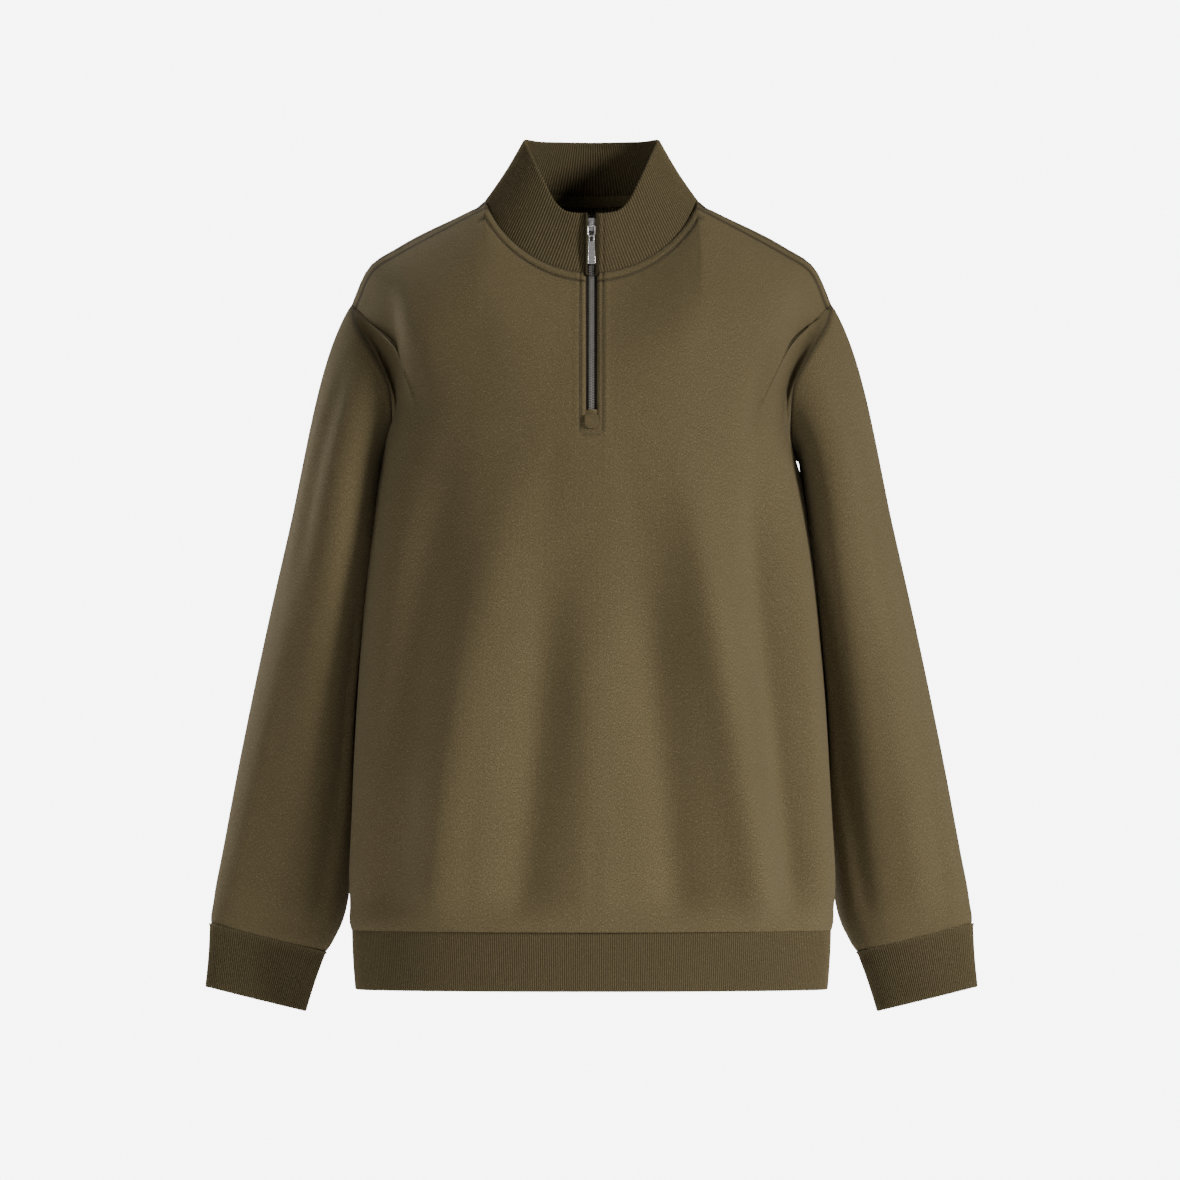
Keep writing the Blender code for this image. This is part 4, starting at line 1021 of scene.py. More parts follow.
def band(name, node, foot, edge, crest_and_painted_shade, bulge, face_rows, closed, flip=1, folds=0.0):
    """Each point is foot + up * height + out * depth, with the rib's ridge added along the
    section's own outward direction. folds is an extra depth for each column and height."""
    rise = edge - foot
    length = np.linalg.norm(rise, axis=1)
    up = rise / length[:, None]
    around = np.roll(foot, -1, 0) - np.roll(foot, 1, 0) if closed else np.gradient(foot, axis=0)
    out = unit(np.cross(around, up) * flip)
    low, high = (
        section(end, BAND_THICK, bulge, face_rows) for end in (length.min(), length.max())
    )
    share = (length - length.min()) / max(np.ptp(length), 1e-6)
    rib_up, rib_out = low[2][:, None], low[3][:, None]
    crest_and_painted_shade = np.broadcast_to(crest_and_painted_shade, (len(rib_up), len(foot)))
    height = low[0][:, None] * (1 - share) + high[0][:, None] * share
    height = height + RIB_HEIGHT * crest_and_painted_shade * rib_up
    depth = low[1][:, None] + RIB_HEIGHT * (crest_and_painted_shade - 1) * rib_out + folds
    points = foot + up * height[..., None] + out * depth[..., None]
    rows, cols = height.shape
    cells, places = quads(rows, cols, closed)
    cell_map = grid_map(points, closed).reshape(-1, 2)[places]
    c, last = np.arange(cols if closed else cols - 1), (rows - 1) * cols
    d = (c + 1) % cols
    faces = [cells, np.stack([d, c, last + c, last + d], 1)]
    if not closed:
        r = np.arange(rows // 2 - 1)
        ladder = np.stack([r, rows - 1 - r, rows - 2 - r, r + 1], 1) * cols
        faces += [ladder, ladder[:, ::-1] + cols - 1]
    unseen = np.zeros((sum(map(len, faces[1:])), 4, 2))
    faces, face_map = np.concatenate(faces), np.concatenate([cell_map, unseen])
    # The crest is also the painted shade of the bands: darkest low in the furrows.
    points, crest_and_painted_shade = points.reshape(-1, 3), crest_and_painted_shade.reshape(-1)
    piece = mesh_piece(name, points, faces, rib_knit, face_map, crest_and_painted_shade, sharp=75)
    fasten(piece, "olive_rib", node)
    print(name, len(faces), "faces")
    return piece


def rib_crest(count, per_rib):
    """0.5 + 0.5 cos of the column's place in its rib: 1 on the ridge and 0 in the furrow."""
    return 0.5 + 0.5 * np.cos(2 * np.pi * np.arange(count) / per_rib)


print("section rows", len(section(50, BAND_THICK, 0, 12)[0]))

# %% [markdown]
# ## Hem band and cuffs
# The hem band is a level ring that narrows a little towards its fold. Cuffs are small
# flattened rings that follow the sleeve's lean. Ribs are 2 mm apart, four columns to a rib.

# %% Hem band
RIB_PITCH, PER_RIB = 2.0, 4
HEM_INSET, HEM_NARROWING = 0.4, 3.0


def even_ring(ring, count):
    """The same closed line with its points at equal steps along it."""
    loop = np.concatenate([ring, ring[:1]])
    length = way_along(loop)
    return points_at(loop, length, np.arange(count) * length[-1] / count)


def hem_ring(t):
    """A squared oval, t from the seam down to the fold."""
    a = np.radians(np.arange(1440) * 0.25)
    power = 2.0 / body_value("square", HEM_SEAM)
    half = body_value("half_width", HEM_SEAM)
    half = half - HEM_INSET + (HEM_BOTTOM_HALF_WIDTH - half) * t
    depth = np.where(np.cos(a) > 0, body_value("front", HEM_SEAM), body_value("back", HEM_SEAM))
    depth = depth - HEM_INSET - HEM_NARROWING * t
    x, y = half * squared(np.sin(a), power), -depth * squared(np.cos(a), power)
    z = HEM_SEAM - HEM_INSET + (HEM_BOTTOM - HEM_SEAM + HEM_INSET) * t
    return np.stack(np.broadcast_arrays(x, y, z), -1)


hem_girth = way_along(hem_ring(0.0))[-1]
hem_columns = round(hem_girth / RIB_PITCH) * PER_RIB
rings = [even_ring(hem_ring(t), hem_columns) for t in (0.0, 1.0)]
crest_and_painted_shade = rib_crest(hem_columns, PER_RIB)
hem_band = band("hem_rib", "hem_band", *rings, crest_and_painted_shade, 0.5, 10, True, flip=-1)
print("hem girth", round(hem_girth), "ribs", hem_columns // PER_RIB)

# %% Cuffs
CUFF_HALF_ACROSS, CUFF_HALF_DEPTH = (52.3, 45.4), (18.0, 15.5)
CUFF_DRIFT_X, CUFF_DRIFT_Z = 10.8, -53.6


def cuff_ring(t):
    """A leaning oval that narrows from the sleeve's seam to the open end."""
    a = np.radians(np.arange(720) * 0.5)
    lean, full = math.radians(SLEEVE["lean"][-1]), SLEEVE["half_across"][-1]
    half = CUFF_HALF_ACROSS[0] + (CUFF_HALF_ACROSS[1] - CUFF_HALF_ACROSS[0]) * t
    deep = CUFF_HALF_DEPTH[0] + (CUFF_HALF_DEPTH[1] - CUFF_HALF_DEPTH[0]) * t
    x = SLEEVE["outer_x"][-1] - full * math.cos(lean) + CUFF_DRIFT_X * t + 0.12
    z = SLEEVE["outer_z"][-1] - full * math.sin(lean) + CUFF_DRIFT_Z * t - 0.5
    x = x + half * np.cos(a) * math.cos(lean)
    z = z + half * np.cos(a) * math.sin(lean)
    return np.stack([x, SLEEVE["y"][-1] - deep * np.sin(a), z], -1)


cuff_girth = way_along(cuff_ring(0.0))[-1]
cuff_columns = round(cuff_girth / RIB_PITCH) * PER_RIB
crest_and_painted_shade = rib_crest(cuff_columns, PER_RIB)
for name, sign in (("right", 1), ("left", -1)):
    rings = [even_ring(cuff_ring(t), cuff_columns) * (sign, 1, 1) for t in (0.0, 1.0)]
    cuff = band("cuff_rib_" + name, "cuff_" + name, *rings, crest_and_painted_shade, 0.7, 10, True, flip=-sign)
print("cuff girth", round(cuff_girth), "ribs", cuff_columns // PER_RIB)

# %% [markdown]
# ## The stand collar
# The collar stands on the neckline and leans in. Its free edge is high at the back and
# sides and runs down to the zip in front, so its ribs fan out from the zip. Both faces show.
# Beside the zip the ribs lean, and a stitched line sinks a groove across them.

# %% Collar
COLLAR_EDGE = Table("angle height", (
    (0, -14.0),
    (14, -13.6),
    (24, -11.0),
    (32, -4.0),
    (45, 16.0),
    (60, 37.0),
    (75, 50.0),
    (90, 54.0),
    (135, 54.0),
    (180, 53.5),
))
COLLAR_HALF_WIDTH, COLLAR_FRONT, COLLAR_BACK = 62.5, 54.0, 44.0
COLLAR_RIBS, COLLAR_PER_RIB = 204, 5


def collar_edge(angle):
    """The folded edge: a smaller oval whose height comes from the table."""
    a = np.radians(angle)
    x = np.maximum(COLLAR_HALF_WIDTH * np.sin(a), np.where(angle < 90, SLOT, 0.0))
    y = -np.where(angle < 90, COLLAR_FRONT, COLLAR_BACK) * np.cos(a)
    return np.stack([x, y, smooth(COLLAR_EDGE["angle"], COLLAR_EDGE["height"], angle)], -1)


collar_columns = COLLAR_RIBS * COLLAR_PER_RIB + 1
half_turn = np.linspace(0, 1, collar_columns // 2 + 1)
collar_angle = np.where(
    half_turn < 0.5, 2 * SHOULDER_AT * half_turn,
    SHOULDER_AT + (180 - SHOULDER_AT) * (2 * half_turn - 1),
)
half_foot = neckline(collar_angle)
half_foot[:, 0] = np.maximum(half_foot[:, 0], SLOT * (1 - half_turn))
collar_foot, collar_top = (
    np.concatenate([half, half[:-1][::-1] * (-1, 1, 1)])
    for half in (half_foot, collar_edge(collar_angle))
)
print("collar columns", collar_columns)

# %% Ribs and stitch grooves of the collar
FACE_ROWS, RIB_LEAN, LEAN_REACH, STITCH_OFF = 26, 4.5, 42, 10.6
heights, _, _, outward = section(1.0, 0.0, 0.0, FACE_ROWS)
share_up = np.clip(heights, 0, 1)[:, None]
in_front = collar_foot[:, 1] < 0
lean = RIB_LEAN * bell(np.abs(collar_foot[:, 0]) / LEAN_REACH) * in_front
from_front = np.minimum(np.arange(collar_columns), np.arange(collar_columns)[::-1])
collar_crest = 0.5 + 0.5 * np.cos(2 * np.pi * (from_front / COLLAR_PER_RIB + lean * share_up))
sideways = np.abs(collar_foot[:, 0] + (collar_top - collar_foot)[:, 0] * share_up)
near_stitch = bell((sideways - STITCH_OFF) / 1.2) * in_front
# By the zip's edges the crest falls to 0: the edge sinks and takes the painted shade of a furrow.
near_edge = bell((sideways - SLOT) / 1.5) * in_front
collar = band(
    "collar_rib", "collar", collar_foot, collar_top, collar_crest * (1 - near_edge), -1.2,
    FACE_ROWS, False, folds=np.where(outward[:, None] > 0, -0.6 * near_stitch, 0.3 * near_stitch),
)
collar_girth = way_along(collar_foot)[-1]
print("collar seam", round(collar_girth), "ribs", COLLAR_RIBS)

# %% [markdown]
# ## The cut of each panel
# The knitwear's panels were cut flat. The front and back are as wide as half the body's girth
# at its fullest, and as long as the longest way up from the hem seam. A sleeve is one piece,
# as wide as the tube's girth at the top of the arm.

# %% Flat sizes
panels = ((front_panel, plain_front, front_area), (back_panel, plain_back, back_area))
for panel, grid, area in panels:
    girth = way_along(grid[: BODY_ROWS + 1], 1)[:, -1].max()
    length = way_along(grid)[-1].max()
    print(panel.name, "flat", round(girth), "by", round(length), "area", round(area, 4))
girth = area_of(sleeve_plain[CAP_ROWS : CAP_ROWS + 2], True) / MM**2
girth /= (sleeve_down[CAP_ROWS + 1] - sleeve_down[CAP_ROWS]).mean()
long = sleeve_down[-1].max()
area = min(sleeve_area, 0.98 * girth * long * MM**2)
for sleeve in sleeves:
    print(sleeve.name, "flat", round(girth), "by", round(long), "area", round(area, 4))

# %% [markdown]
# ## The neck tape
# Inside, a flat strip of the fleece covers the back of the collar seam from shoulder to
# shoulder. It lies on the collar's inner face, so it is made from the same two lines.

# %% Neck tape
TAPE_ROWS, TAPE_LOW, TAPE_HIGH, TAPE_DEPTH = 8, 0.035, 0.20, 3.0
TAPE_EDGE, TAPE_SWELL = 0.5, 0.7
tape_start = collar_columns // 4 + 40
foot, top = (line[tape_start:-tape_start][::5] for line in (collar_foot, collar_top))
share = np.linspace(TAPE_LOW, TAPE_HIGH, TAPE_ROWS)[:, None, None]
tape_grid = foot + (top - foot) * share
tape_outer = tape_grid - normals(tape_grid) * TAPE_DEPTH
tape_puff = np.sin(np.linspace(0, np.pi, TAPE_ROWS))[:, None, None] ** 0.6
tape_inner = tape_outer - normals(tape_outer) * (TAPE_EDGE + TAPE_SWELL * tape_puff)
open_cloth = np.ones(tape_outer.shape[:2])
neck_tape = cloth("neck_tape_strip", tape_outer, tape_inner, fleece, crest_and_painted_shade=open_cloth)
fasten(neck_tape, "olive_fleece", "neck_tape")
tape_length = way_along(tape_outer[0])[-1]
print("neck tape", round(tape_length), "mm long")

# %% [markdown]
# ## The zip
# The zip lies in the slot, 2 to 3 mm behind the cloth: two dark tapes with a row of small metal
# teeth between them. Each tooth is the same small block, so the chain is one block copied
# along the zip's line with arrays, left and right in turn.

# %% The line of the zip
zip_rows = plain_front[:, middle]
top_point = collar_edge(np.array([0.0]))[0]
foot_point = neckline(np.array([0.0]))[0]


def zip_depth(z):
    """How far forward the front's centre line lies: straight on the collar, then the chest."""
    share = (z - foot_point[2]) / (top_point[2] - foot_point[2])
    on_collar = foot_point[1] + (top_point[1] - foot_point[1]) * share
    return np.where(z > foot_point[2], on_collar, np.interp(z, zip_rows[:, 2], zip_rows[:, 1]))


def zip_frames(z):
    """Points of the zip's line with the unit directions up along it and out of it."""
    y = zip_depth(z)
    slope = np.gradient(y, z)
    up = np.stack([0 * z, slope, 0 * z + 1], -1) / np.sqrt(1 + slope**2)[:, None]
    out = np.stack([0 * z, -up[:, 2], up[:, 1]], -1)
    return np.stack([0 * z, y, z], -1), up, out


def zip_strip(x_from, x_to, z_rows, depth):
    """A grid across the zip between two sideways places, at a depth behind the cloth."""
    at, _, out = zip_frames(z_rows)
    x = np.linspace(x_from, x_to, 6)[None, :, None] * np.array([1, 0, 0])
    return (at - out * depth)[:, None] + x


# %% Zip tapes
TAPE_NEAR, TAPE_FAR, TAPE_FACE, TAPE_REAR = 0.7, 7.6, 3.3, 4.1
tape_z = np.linspace(-206, -15, 60)
for name, sign in (("right", 1), ("left", -1)):
    face, rear = (
        zip_strip(sign * TAPE_NEAR, sign * TAPE_FAR, tape_z, d) for d in (TAPE_FACE, TAPE_REAR)
    )
    tape = cloth("zip_twill_" + name, face, rear, tape_cloth)
    fasten(tape, "zip_tape", "zip_tape_" + name)

# %% Zip teeth
TOOTH = np.array([
    (-0.45, -0.26), (0.45, -0.44), (2.2, -0.46), (2.6, -0.26),
    (2.6, 0.26), (2.2, 0.46), (0.45, 0.44), (-0.45, 0.26),
])
TOOTH_PITCH, TOOTH_THICK, TEETH_BEHIND, SLIDER_AT = 1.5, 1.3, 2.4, -24.4


def tooth_shape():
    """An eight-sided block, smaller at its face, with each flat end cut into quads."""
    n = len(TOOTH)
    ring = np.arange(n)
    walls = np.stack([ring, (ring + 1) % n, n + (ring + 1) % n, n + ring], 1)
    end = np.array([(0, 1, 6, 7), (1, 2, 5, 6), (2, 3, 4, 5)])
    low = np.c_[TOOTH, np.zeros(n)]
    high = np.c_[TOOTH * (0.94, 0.72) + (0.05, 0), np.full(n, TOOTH_THICK)]
    return np.concatenate([low, high]), np.concatenate([walls, end[:, ::-1], end + n])


block, block_faces = tooth_shape()
teeth_z = np.arange(ZIP_FOOT + 1.5, SLIDER_AT - 4.5, TOOTH_PITCH)
points, faces = [], []
for number, sign in enumerate((1, -1)):
    at, up, out = zip_frames(teeth_z + number * TOOTH_PITCH / 2)
    at = at - out * TEETH_BEHIND
    row = (at[:, None] + block[None, :, :1] * (sign, 0, 0)
           + block[None, :, 1:2] * up[:, None] + block[None, :, 2:] * out[:, None])
    first = (np.arange(len(at)) + number * len(at)) * len(block)
    points.append(row.reshape(-1, 3))
    faces.append((block_faces[:, ::sign][None] + first[:, None, None]).reshape(-1, 4))
teeth = mesh_piece("zip_teeth", np.concatenate(points), np.concatenate(faces), gunmetal)
fasten(teeth, "brushed_silver", "zip_chain")
print("teeth", 2 * len(teeth_z))

# %% [markdown]
# ## The fabric tab at the zip's foot
# A scrap of fleece, square above and round below, covers the end of the teeth. Its outline
# is a U, and the cloth swells between its edges, so the grid runs from the middle outwards.

# %% Zip foot tab
TAB_HALF, TAB_TOP, TAB_BOTTOM = 6.9, -199.0, -212.0
TAB_LIFT, TAB_SWELL, TAB_UNDER = 2.1, 0.8, 0.6
SQUARE_ABOVE, ROUND_BELOW = 2 / 6.0, 2 / 2.8


def foot_tab():
    """Rings of a squared U scaled by s from the middle out; the swell is 1 - s^8."""
    a = np.linspace(0, 2 * np.pi, 48, endpoint=False)
    power = np.where(np.sin(a) < 0, ROUND_BELOW, SQUARE_ABOVE)
    x = TAB_HALF * squared(np.cos(a), power)
    centre, half = (TAB_TOP + TAB_BOTTOM) / 2, (TAB_TOP - TAB_BOTTOM) / 2
    z = centre + half * squared(np.sin(a), power)
    s = np.array([0.02, 0.3, 0.55, 0.75, 0.88, 0.96, 1.0])[:, None]
    z_grid = centre + (z - centre) * s
    lift = TAB_LIFT + TAB_SWELL * (1 - s**8) + 0 * z_grid
    flat = np.stack([x * s, zip_depth(z_grid), z_grid], -1)
    out = np.array([0, -1.0, 0.0])
    return flat + out * lift[..., None], flat - out * TAB_UNDER


tab_face, tab_back = foot_tab()
tab_lit = 1 - 0.85 * np.linspace(0, 1, len(tab_face))[:, None] ** 8 + 0 * tab_face[..., 0]
zip_foot_tab = cloth("zip_foot_cover", tab_face, tab_back, fleece, closed=True, crest_and_painted_shade=tab_lit)
fasten(zip_foot_tab, "olive_fleece", "zip_end_tab")
print("foot tab made")

# %% [markdown]
# ## Slider, link and pull
# The pull is silver: a slider with a low arch, a wire link through the arch, and a flat tab
# with a window, raised rims and a plain face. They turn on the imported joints, so their
# places come from the joints: the line from one hinge to the other is the slider's "up".

# %% Places on the slider, and a shape with rounded edges
joints = {joint["name"]: np.array(joint["pos_m"]) / MM for joint in frame["joints"]}
link_at, tab_at = joints["link_hinge"], joints["tab_hinge"]
slider_up = unit(link_at - tab_at)
slider_out = np.array([0, -slider_up[2], slider_up[1]])
slider_at = link_at + slider_up * 1.9 - slider_out * 1.6


def on_slider(points, at=slider_at):
    """x, up and out from a place on the slider, turned into the model's own directions."""
    return at + np.asarray(points, float) @ np.array([[1, 0, 0], slider_up, slider_out])


def metal_plate(name, outline, low, high, bevel, material=dull, at=slider_at, turn=False,
                nodes=(), body="garment"):
    """An outline (x, up) raised from low to high, with its edges rounded by a bevel."""
    n = len(outline)
    flat = np.array(outline, float)
    points = np.concatenate([np.c_[flat, np.full(n, low)], np.c_[flat, np.full(n, high)]])
    if turn:
        points = points[:, [2, 0, 1]]
    faces = [tuple(range(n))[::-1], tuple(range(n, 2 * n))]
    faces += [(i, (i + 1) % n, n + (i + 1) % n, n + i) for i in range(n)]
    mesh = bpy.data.meshes.new(name)
    mesh.from_pydata((on_slider(points, at) * MM).tolist(), [], faces)
    mesh.materials.append(material)
    plate = add_object(name, mesh)
    (x, u), (next_x, next_u) = flat.T, np.roll(flat, -1, 0).T
    if (x * next_u - next_x * u).sum() < 0:
        mesh.flip_normals()
    mesh.shade_smooth()
    mesh.set_sharp_from_angle(angle=math.radians(35))
    rounded = plate.modifiers.new("rounded", "BEVEL")
    rounded.width, rounded.segments, rounded.limit_method = bevel * MM, 3, "ANGLE"
    rounded.angle_limit = math.radians(30)
    fasten(plate, "brushed_silver", *nodes, body=body)
    return plate


def arc(x, up, radius, start, stop, steps=6):
    a = np.radians(np.linspace(start, stop, steps))
    return list(zip(x + radius * np.cos(a), up + radius * np.sin(a)))


# %% Slider
shield = arc(0, 1.9, 4.5, 0, 62, 5) + arc(0, 1.9, 4.5, 118, 180, 5) + [(-4.5, -1.5), (-3.9, -4.6)]
shield += arc(-2.4, -5.0, 1.4, 180, 270, 4) + arc(2.4, -5.0, 1.4, 270, 360, 4)
shield += [(3.9, -4.6), (4.5, -1.5)]
rear_shield = [(x * 0.95, u * 0.97) for x, u in shield]
post = [(-0.55, 2.4), (0.55, 2.4), (0.55, 4.4), (-0.55, 4.4)]
arch = [(-3.7, 0.3), (-3.7, 2.0)] + arc(-2.3, 2.0, 1.4, 180, 90, 5) + arc(2.3, 2.0, 1.4, 90, 0, 5)
arch += [(3.7, 0.3), (2.7, 0.3), (2.7, 1.9)] + arc(1.9, 1.9, 0.7, 0, 90, 4)
arch += arc(-1.9, 1.9, 0.7, 90, 180, 4) + [(-2.7, 1.9), (-2.7, 0.3)]
metal_plate("slider_face", shield, -0.6, 0.7, 0.3, nodes=["zip_slider"])
metal_plate("slider_rear", rear_shield, -5.6, -4.6, 0.2)
metal_plate("slider_post", post, -5.0, 0.2, 0.1)
metal_plate("slider_arch", arch, -0.95, 0.95, 0.22, turn=True)
print("slider at", slider_at.round(1))

# %% Wire link
LINK_HALF, LINK_LENGTH, WIRE_RADIUS, LINK_BOW = 3.3, 9.6, 0.58, 0.25


def wire_ring(name, path, bow, radius, at, material, sides=12):
    """A round wire along a closed path: circles of the wire's radius across the path."""
    path = np.asarray(path, float)
    along = unit(np.roll(path, -1, 0) - np.roll(path, 1, 0))
    sideways = np.stack([along[:, 1], -along[:, 0]], 1)
    a = 2 * np.pi * (np.arange(sides) + 0.5) / sides
    flat = path[:, None] + sideways[:, None] * (radius * np.cos(a))[None, :, None]
    out = np.tile(radius * np.sin(a), (len(path), 1)) + bow(path[:, 1])[:, None]
    points = on_slider(np.concatenate([flat, out[..., None]], 2).reshape(-1, 3), at)
    n = len(path)
    i, k = np.meshgrid(np.arange(n), np.arange(sides), indexing="ij")
    j, m = (i + 1) % n, (k + 1) % sides
    faces = np.stack([i * sides + k, i * sides + m, j * sides + m, j * sides + k], -1)
    return mesh_piece(name, points, faces.reshape(-1, 4), material)


def bow_out(u):
    """The wire bows out by a sine squared of the way down the link."""
    return LINK_BOW * np.sin(np.pi * u / LINK_LENGTH) ** 2


link_path = arc(LINK_HALF - 1.5, -1.5, 1.5, 0, 90, 7) + arc(-LINK_HALF + 1.5, -1.5, 1.5, 90, 180, 7)
link_path += arc(-LINK_HALF + 1.4, -LINK_LENGTH + 1.4, 1.4, 180, 270, 7)
link_path += arc(LINK_HALF - 1.4, -LINK_LENGTH + 1.4, 1.4, 270, 360, 7)
link = wire_ring("pull_wire", link_path, bow_out, WIRE_RADIUS, link_at, bright)
fasten(link, "brushed_silver", "pull_link", body="link")
print("wire link made")

# %% Pull tab
PULL_HALF, PULL_LONG, PULL_THICK = 3.6, 26.6, 0.6


def pull_part(name, outline, low, high, bevel, **more):
    """A bright plate that swings with the pull, measured from the pull's own hinge."""
    return metal_plate(name, outline, low, high, bevel, bright, tab_at, body="tab", **more)


def box_outline(x, low, high):
    """A rectangle between two sideways places and two heights."""
    return [(x[0], high), (x[0], low), (x[1], low), (x[1], high)]


plate_outline = [(-2.6, -5.2)] + arc(-PULL_HALF + 0.5, -5.7, 0.5, 90, 180, 3)
plate_outline += arc(-PULL_HALF + 0.7, -PULL_LONG + 0.7, 0.7, 180, 270, 4)
plate_outline += arc(PULL_HALF - 0.7, -PULL_LONG + 0.7, 0.7, 270, 360, 4)
plate_outline += arc(PULL_HALF - 0.5, -5.7, 0.5, 0, 90, 3) + [(2.6, -5.2)]
eye = arc(0, 0, 1.4, 0, 330, 12) + arc(0, 0, 0.86, 330, 0, 12)
pull_part("pull_plate", plate_outline, -PULL_THICK, PULL_THICK - 0.25, 0.15, nodes=["pull_tab"])
for name, sign in (("left", -1), ("right", 1)):
    rim_x = sorted((sign * (PULL_HALF - 0.1), sign * (PULL_HALF - 0.85)))
    arm_x = sorted((sign * 1.5, sign * 2.65))
    rim, arm = box_outline(rim_x, -PULL_LONG + 0.4, -5.6), box_outline(arm_x, -5.7, -1.0)
    pull_part("pull_rim_" + name, rim, 0, PULL_THICK, 0.14)
    pull_part("pull_arm_" + name, arm, -0.5, 0.5, 0.15)
    pull_part("pull_eye_" + name, eye, *arm_x, 0.08, turn=True)
foot_rim = box_outline((-PULL_HALF + 0.3, PULL_HALF - 0.3), -PULL_LONG + 0.2, -PULL_LONG + 0.9)
pull_part("pull_rim_foot", foot_rim, 0, PULL_THICK, 0.14)
print("the pull's foot lies", PULL_LONG, "mm from its hinge")

# %% [markdown]
# ## Stitches
# Topstitching shows below the collar seam and in a frame round the zip. Each stitch is a
# short rounded bead of thread lying in its groove, a little apart from the next. One bead is
# copied along a line, turned by the line's direction and the cloth's.

# %% One bead, copied along a line
BEAD_SIDES, STITCH_PITCH, STITCH_LONG, THREAD_RADIUS = 6, 3.0, 2.3, 0.33
around_bead = 2 * np.pi * np.arange(BEAD_SIDES) / BEAD_SIDES
bead_along = np.array([-0.5, -0.36, 0.36, 0.5]) * STITCH_LONG
bead_wide = np.array([0.3, 1.0, 1.0, 0.3]) * THREAD_RADIUS


def spaced(line, pitch):
    """Places at even steps along a line, and the line's direction at each."""
    length = way_along(line)
    at = np.arange(pitch / 2, length[-1], pitch)
    places, before, after = (points_at(line, length, a) for a in (at, at - 0.5, at + 0.5))
    return places, unit(after - before)


def bead_faces():
    """Quads round one bead, with each six-sided end cut into two."""
    n, last = BEAD_SIDES, (len(bead_along) - 1) * BEAD_SIDES
    r, k = np.meshgrid(np.arange(0, last, n), np.arange(n), indexing="ij")
    m = (k + 1) % n
    walls = np.stack([r + k, r + m, r + n + m, r + n + k], -1).reshape(-1, 4)
    ends = [(0, 3, 2, 1), (0, 5, 4, 3), (last, last + 1, last + 2, last + 3)]
    return np.concatenate([walls, ends, [(last, last + 3, last + 4, last + 5)]])


def stitched(lines):
    """Beads along each (line, outward directions): along x bead, side and out x circle."""
    points = []
    across, up = (wave(around_bead) * bead_wide[:, None] for wave in (np.cos, np.sin))
    for line, out in lines:
        places, along = spaced(line, STITCH_PITCH)
        shares = np.linspace(0, 1, len(places))
        side = unit(np.cross(along, points_at(out, np.linspace(0, 1, len(line)), shares)))
        top = np.cross(side, along)
        ring = side[:, None, None] * across[..., None] + top[:, None, None] * up[..., None]
        ring += along[:, None, None] * bead_along[:, None, None] + places[:, None, None]
        points.append(ring.reshape(-1, 3))
    points = np.concatenate(points)
    first = np.arange(0, len(points), BEAD_SIDES * len(bead_along))
    return points, (bead_faces() + first[:, None, None]).reshape(-1, 4)


def where_reached(face, out, distance, value):
    """The place in each column, from its top down, where a distance first passes a value."""
    d, f, o = distance[::-1], face[::-1], out[::-1]
    column = np.arange(d.shape[1])
    i = np.maximum(np.argmax(d > value, axis=0), 1)
    t = ((value - d[i - 1, column]) / (d[i, column] - d[i - 1, column]))[:, None]
    return f[i - 1, column] * (1 - t) + f[i, column] * t, o[i, column]


print("stitches every", STITCH_PITCH, "mm")

# %% Lines of stitches on the body
STITCHED_FROM = -80


def on_front(flat_line):
    """Lifts (x, z) points on to the front's face, by the nearest grid points' mean."""
    near = front_face[BODY_ROWS:]
    flat = near[..., [0, 2]].reshape(-1, 2)
    gap = ((flat_line[:, None] - flat[None]) ** 2).sum(-1)
    nearest = np.argpartition(gap, 4, axis=1)[:, :4]
    weight = 1 / (np.take_along_axis(gap, nearest, 1) + 0.05)
    weight /= weight.sum(1, keepdims=True)
    y = (near[..., 1].reshape(-1)[nearest] * weight).sum(1)
    return np.stack([flat_line[:, 0], y, flat_line[:, 1]], -1)


lines = []
for plain, face, side, neck_line in (
    (plain_front, front_face, -1, front_neck_line), (plain_back, back_face, 1, back_neck_line),
):
    out = normals(plain) * -side
    centre, reach_of_neck = face.shape[1] // 2, len(NECK_SHARES) - 1 + (side < 0)
    keep = slice(centre - reach_of_neck, centre + reach_of_neck)
    from_neck = reach(plain[:, keep], neck_line)
    line, outs = where_reached(face[:, keep], out[:, keep], from_neck, NECK_ROLL)
    if side < 0:
        for half in (line[:, 0] < -PLACKET_HALF - 1, line[:, 0] > PLACKET_HALF + 1):
            lines.append((line[half], outs[half]))
    else:
        lines.append((line, outs))
placket = on_front(placket_line[placket_line[:, 1] < STITCHED_FROM])
lines.append((placket, np.tile([0, -1.0, 0.1], (len(placket), 1))))
points, faces = stitched(lines)
body_stitches = mesh_piece("body_stitches", points, faces, thread)
fasten(body_stitches, "olive_fleece")
print("body stitch beads", len(points) // (BEAD_SIDES * len(bead_along)))

# %% [markdown]
# ## Floor, light and camera
# The garment is held at its shoulders, with a pale floor far below it. Soft suns light it from
# a long way off: a strong one from the right, a weak one from the left and one from behind for
# the back. The camera is far away with a long lens, level with the middle of the garment.

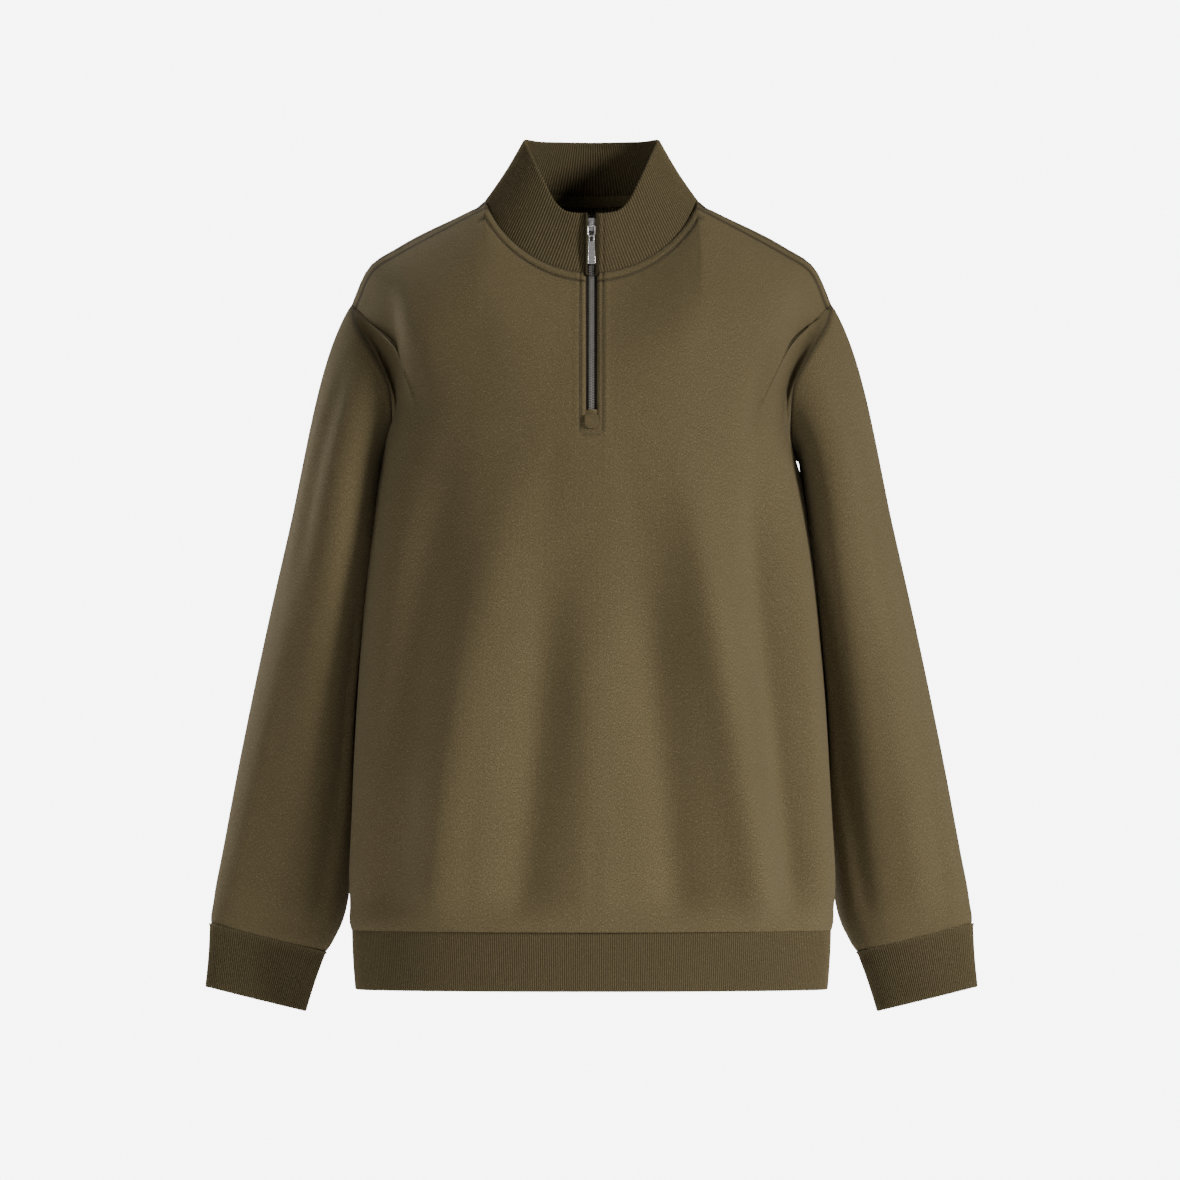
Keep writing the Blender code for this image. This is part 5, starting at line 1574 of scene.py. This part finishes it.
# %% Floor
FLOOR_REACH, FLOOR_HEIGHT, FLOOR_SIDES = 2.4, -1.3, 128
turn = np.linspace(0, 2 * np.pi, FLOOR_SIDES, endpoint=False)
rim = np.stack([np.cos(turn) * FLOOR_REACH, np.sin(turn) * FLOOR_REACH, 0 * turn + FLOOR_HEIGHT], 1)
floor_mesh = bpy.data.meshes.new("floor")
floor_mesh.from_pydata(rim.tolist(), [], [tuple(range(FLOOR_SIDES))])
floor_desk = Desk("pale_floor", roughness=0.9, emission_color=(1, 1, 1, 1), emission_strength=0.6)
floor_mesh.materials.append(floor_desk.finish((0.86, 0.86, 0.86, 1)))
add_object("floor", floor_mesh)
print("floor at", FLOOR_HEIGHT)

# %% Light
from mathutils import Vector

def sun(name, strength, spread, towards):
    """A sun lamp that shines along the given direction, with its disc's size in degrees."""
    lamp = bpy.data.lights.new(name, "SUN")
    lamp.energy, lamp.angle = strength, math.radians(spread)
    add_object(name, lamp).rotation_euler = Vector(towards).to_track_quat("-Z", "Y").to_euler()


sun("key_sun", 4.0, 14, (-0.81, 0.50, -0.30))
sun("front_sun", 1.0, 40, (0.72, 0.62, -0.32))
sun("back_sun", 2.8, 24, (0.72, -0.60, -0.32))
print("suns placed")

# %% White beyond the garment, and a faint glow on it
WHITE_SEEN, GLOW_CAST = 9.0, 0.06
world = bpy.data.worlds.new("studio")
bpy.context.scene.world = world
world.use_nodes = True
sky = world.node_tree
glow, white = sky.nodes["Background"], sky.nodes.new("ShaderNodeBackground")
white.inputs["Strength"].default_value = WHITE_SEEN
glow.inputs["Strength"].default_value = GLOW_CAST
glow.inputs["Color"].default_value = (0.95, 0.97, 1.0, 1)
seen, blend = (sky.nodes.new("ShaderNode" + kind) for kind in ("LightPath", "MixShader"))
sky.links.new(seen.outputs["Is Camera Ray"], blend.inputs[0])
sky.links.new(glow.outputs[0], blend.inputs[1])
sky.links.new(white.outputs[0], blend.inputs[2])
sky.links.new(blend.outputs[0], sky.nodes["World Output"].inputs["Surface"])
print("world", world.name)

# %% Camera
VIEW_WIDTH = 1.0856
view = bpy.data.cameras.new("camera")
view.lens, view.sensor_width, view.clip_end = 400, 36, 200
camera = add_object("camera", view)
distance = VIEW_WIDTH * view.lens / view.sensor_width
camera.location = (-0.00138, 0.02 - distance, -0.3588)
camera.rotation_euler = (math.radians(90), 0, 0)
bpy.context.scene.camera = camera
print("camera at", [round(v, 3) for v in camera.location])
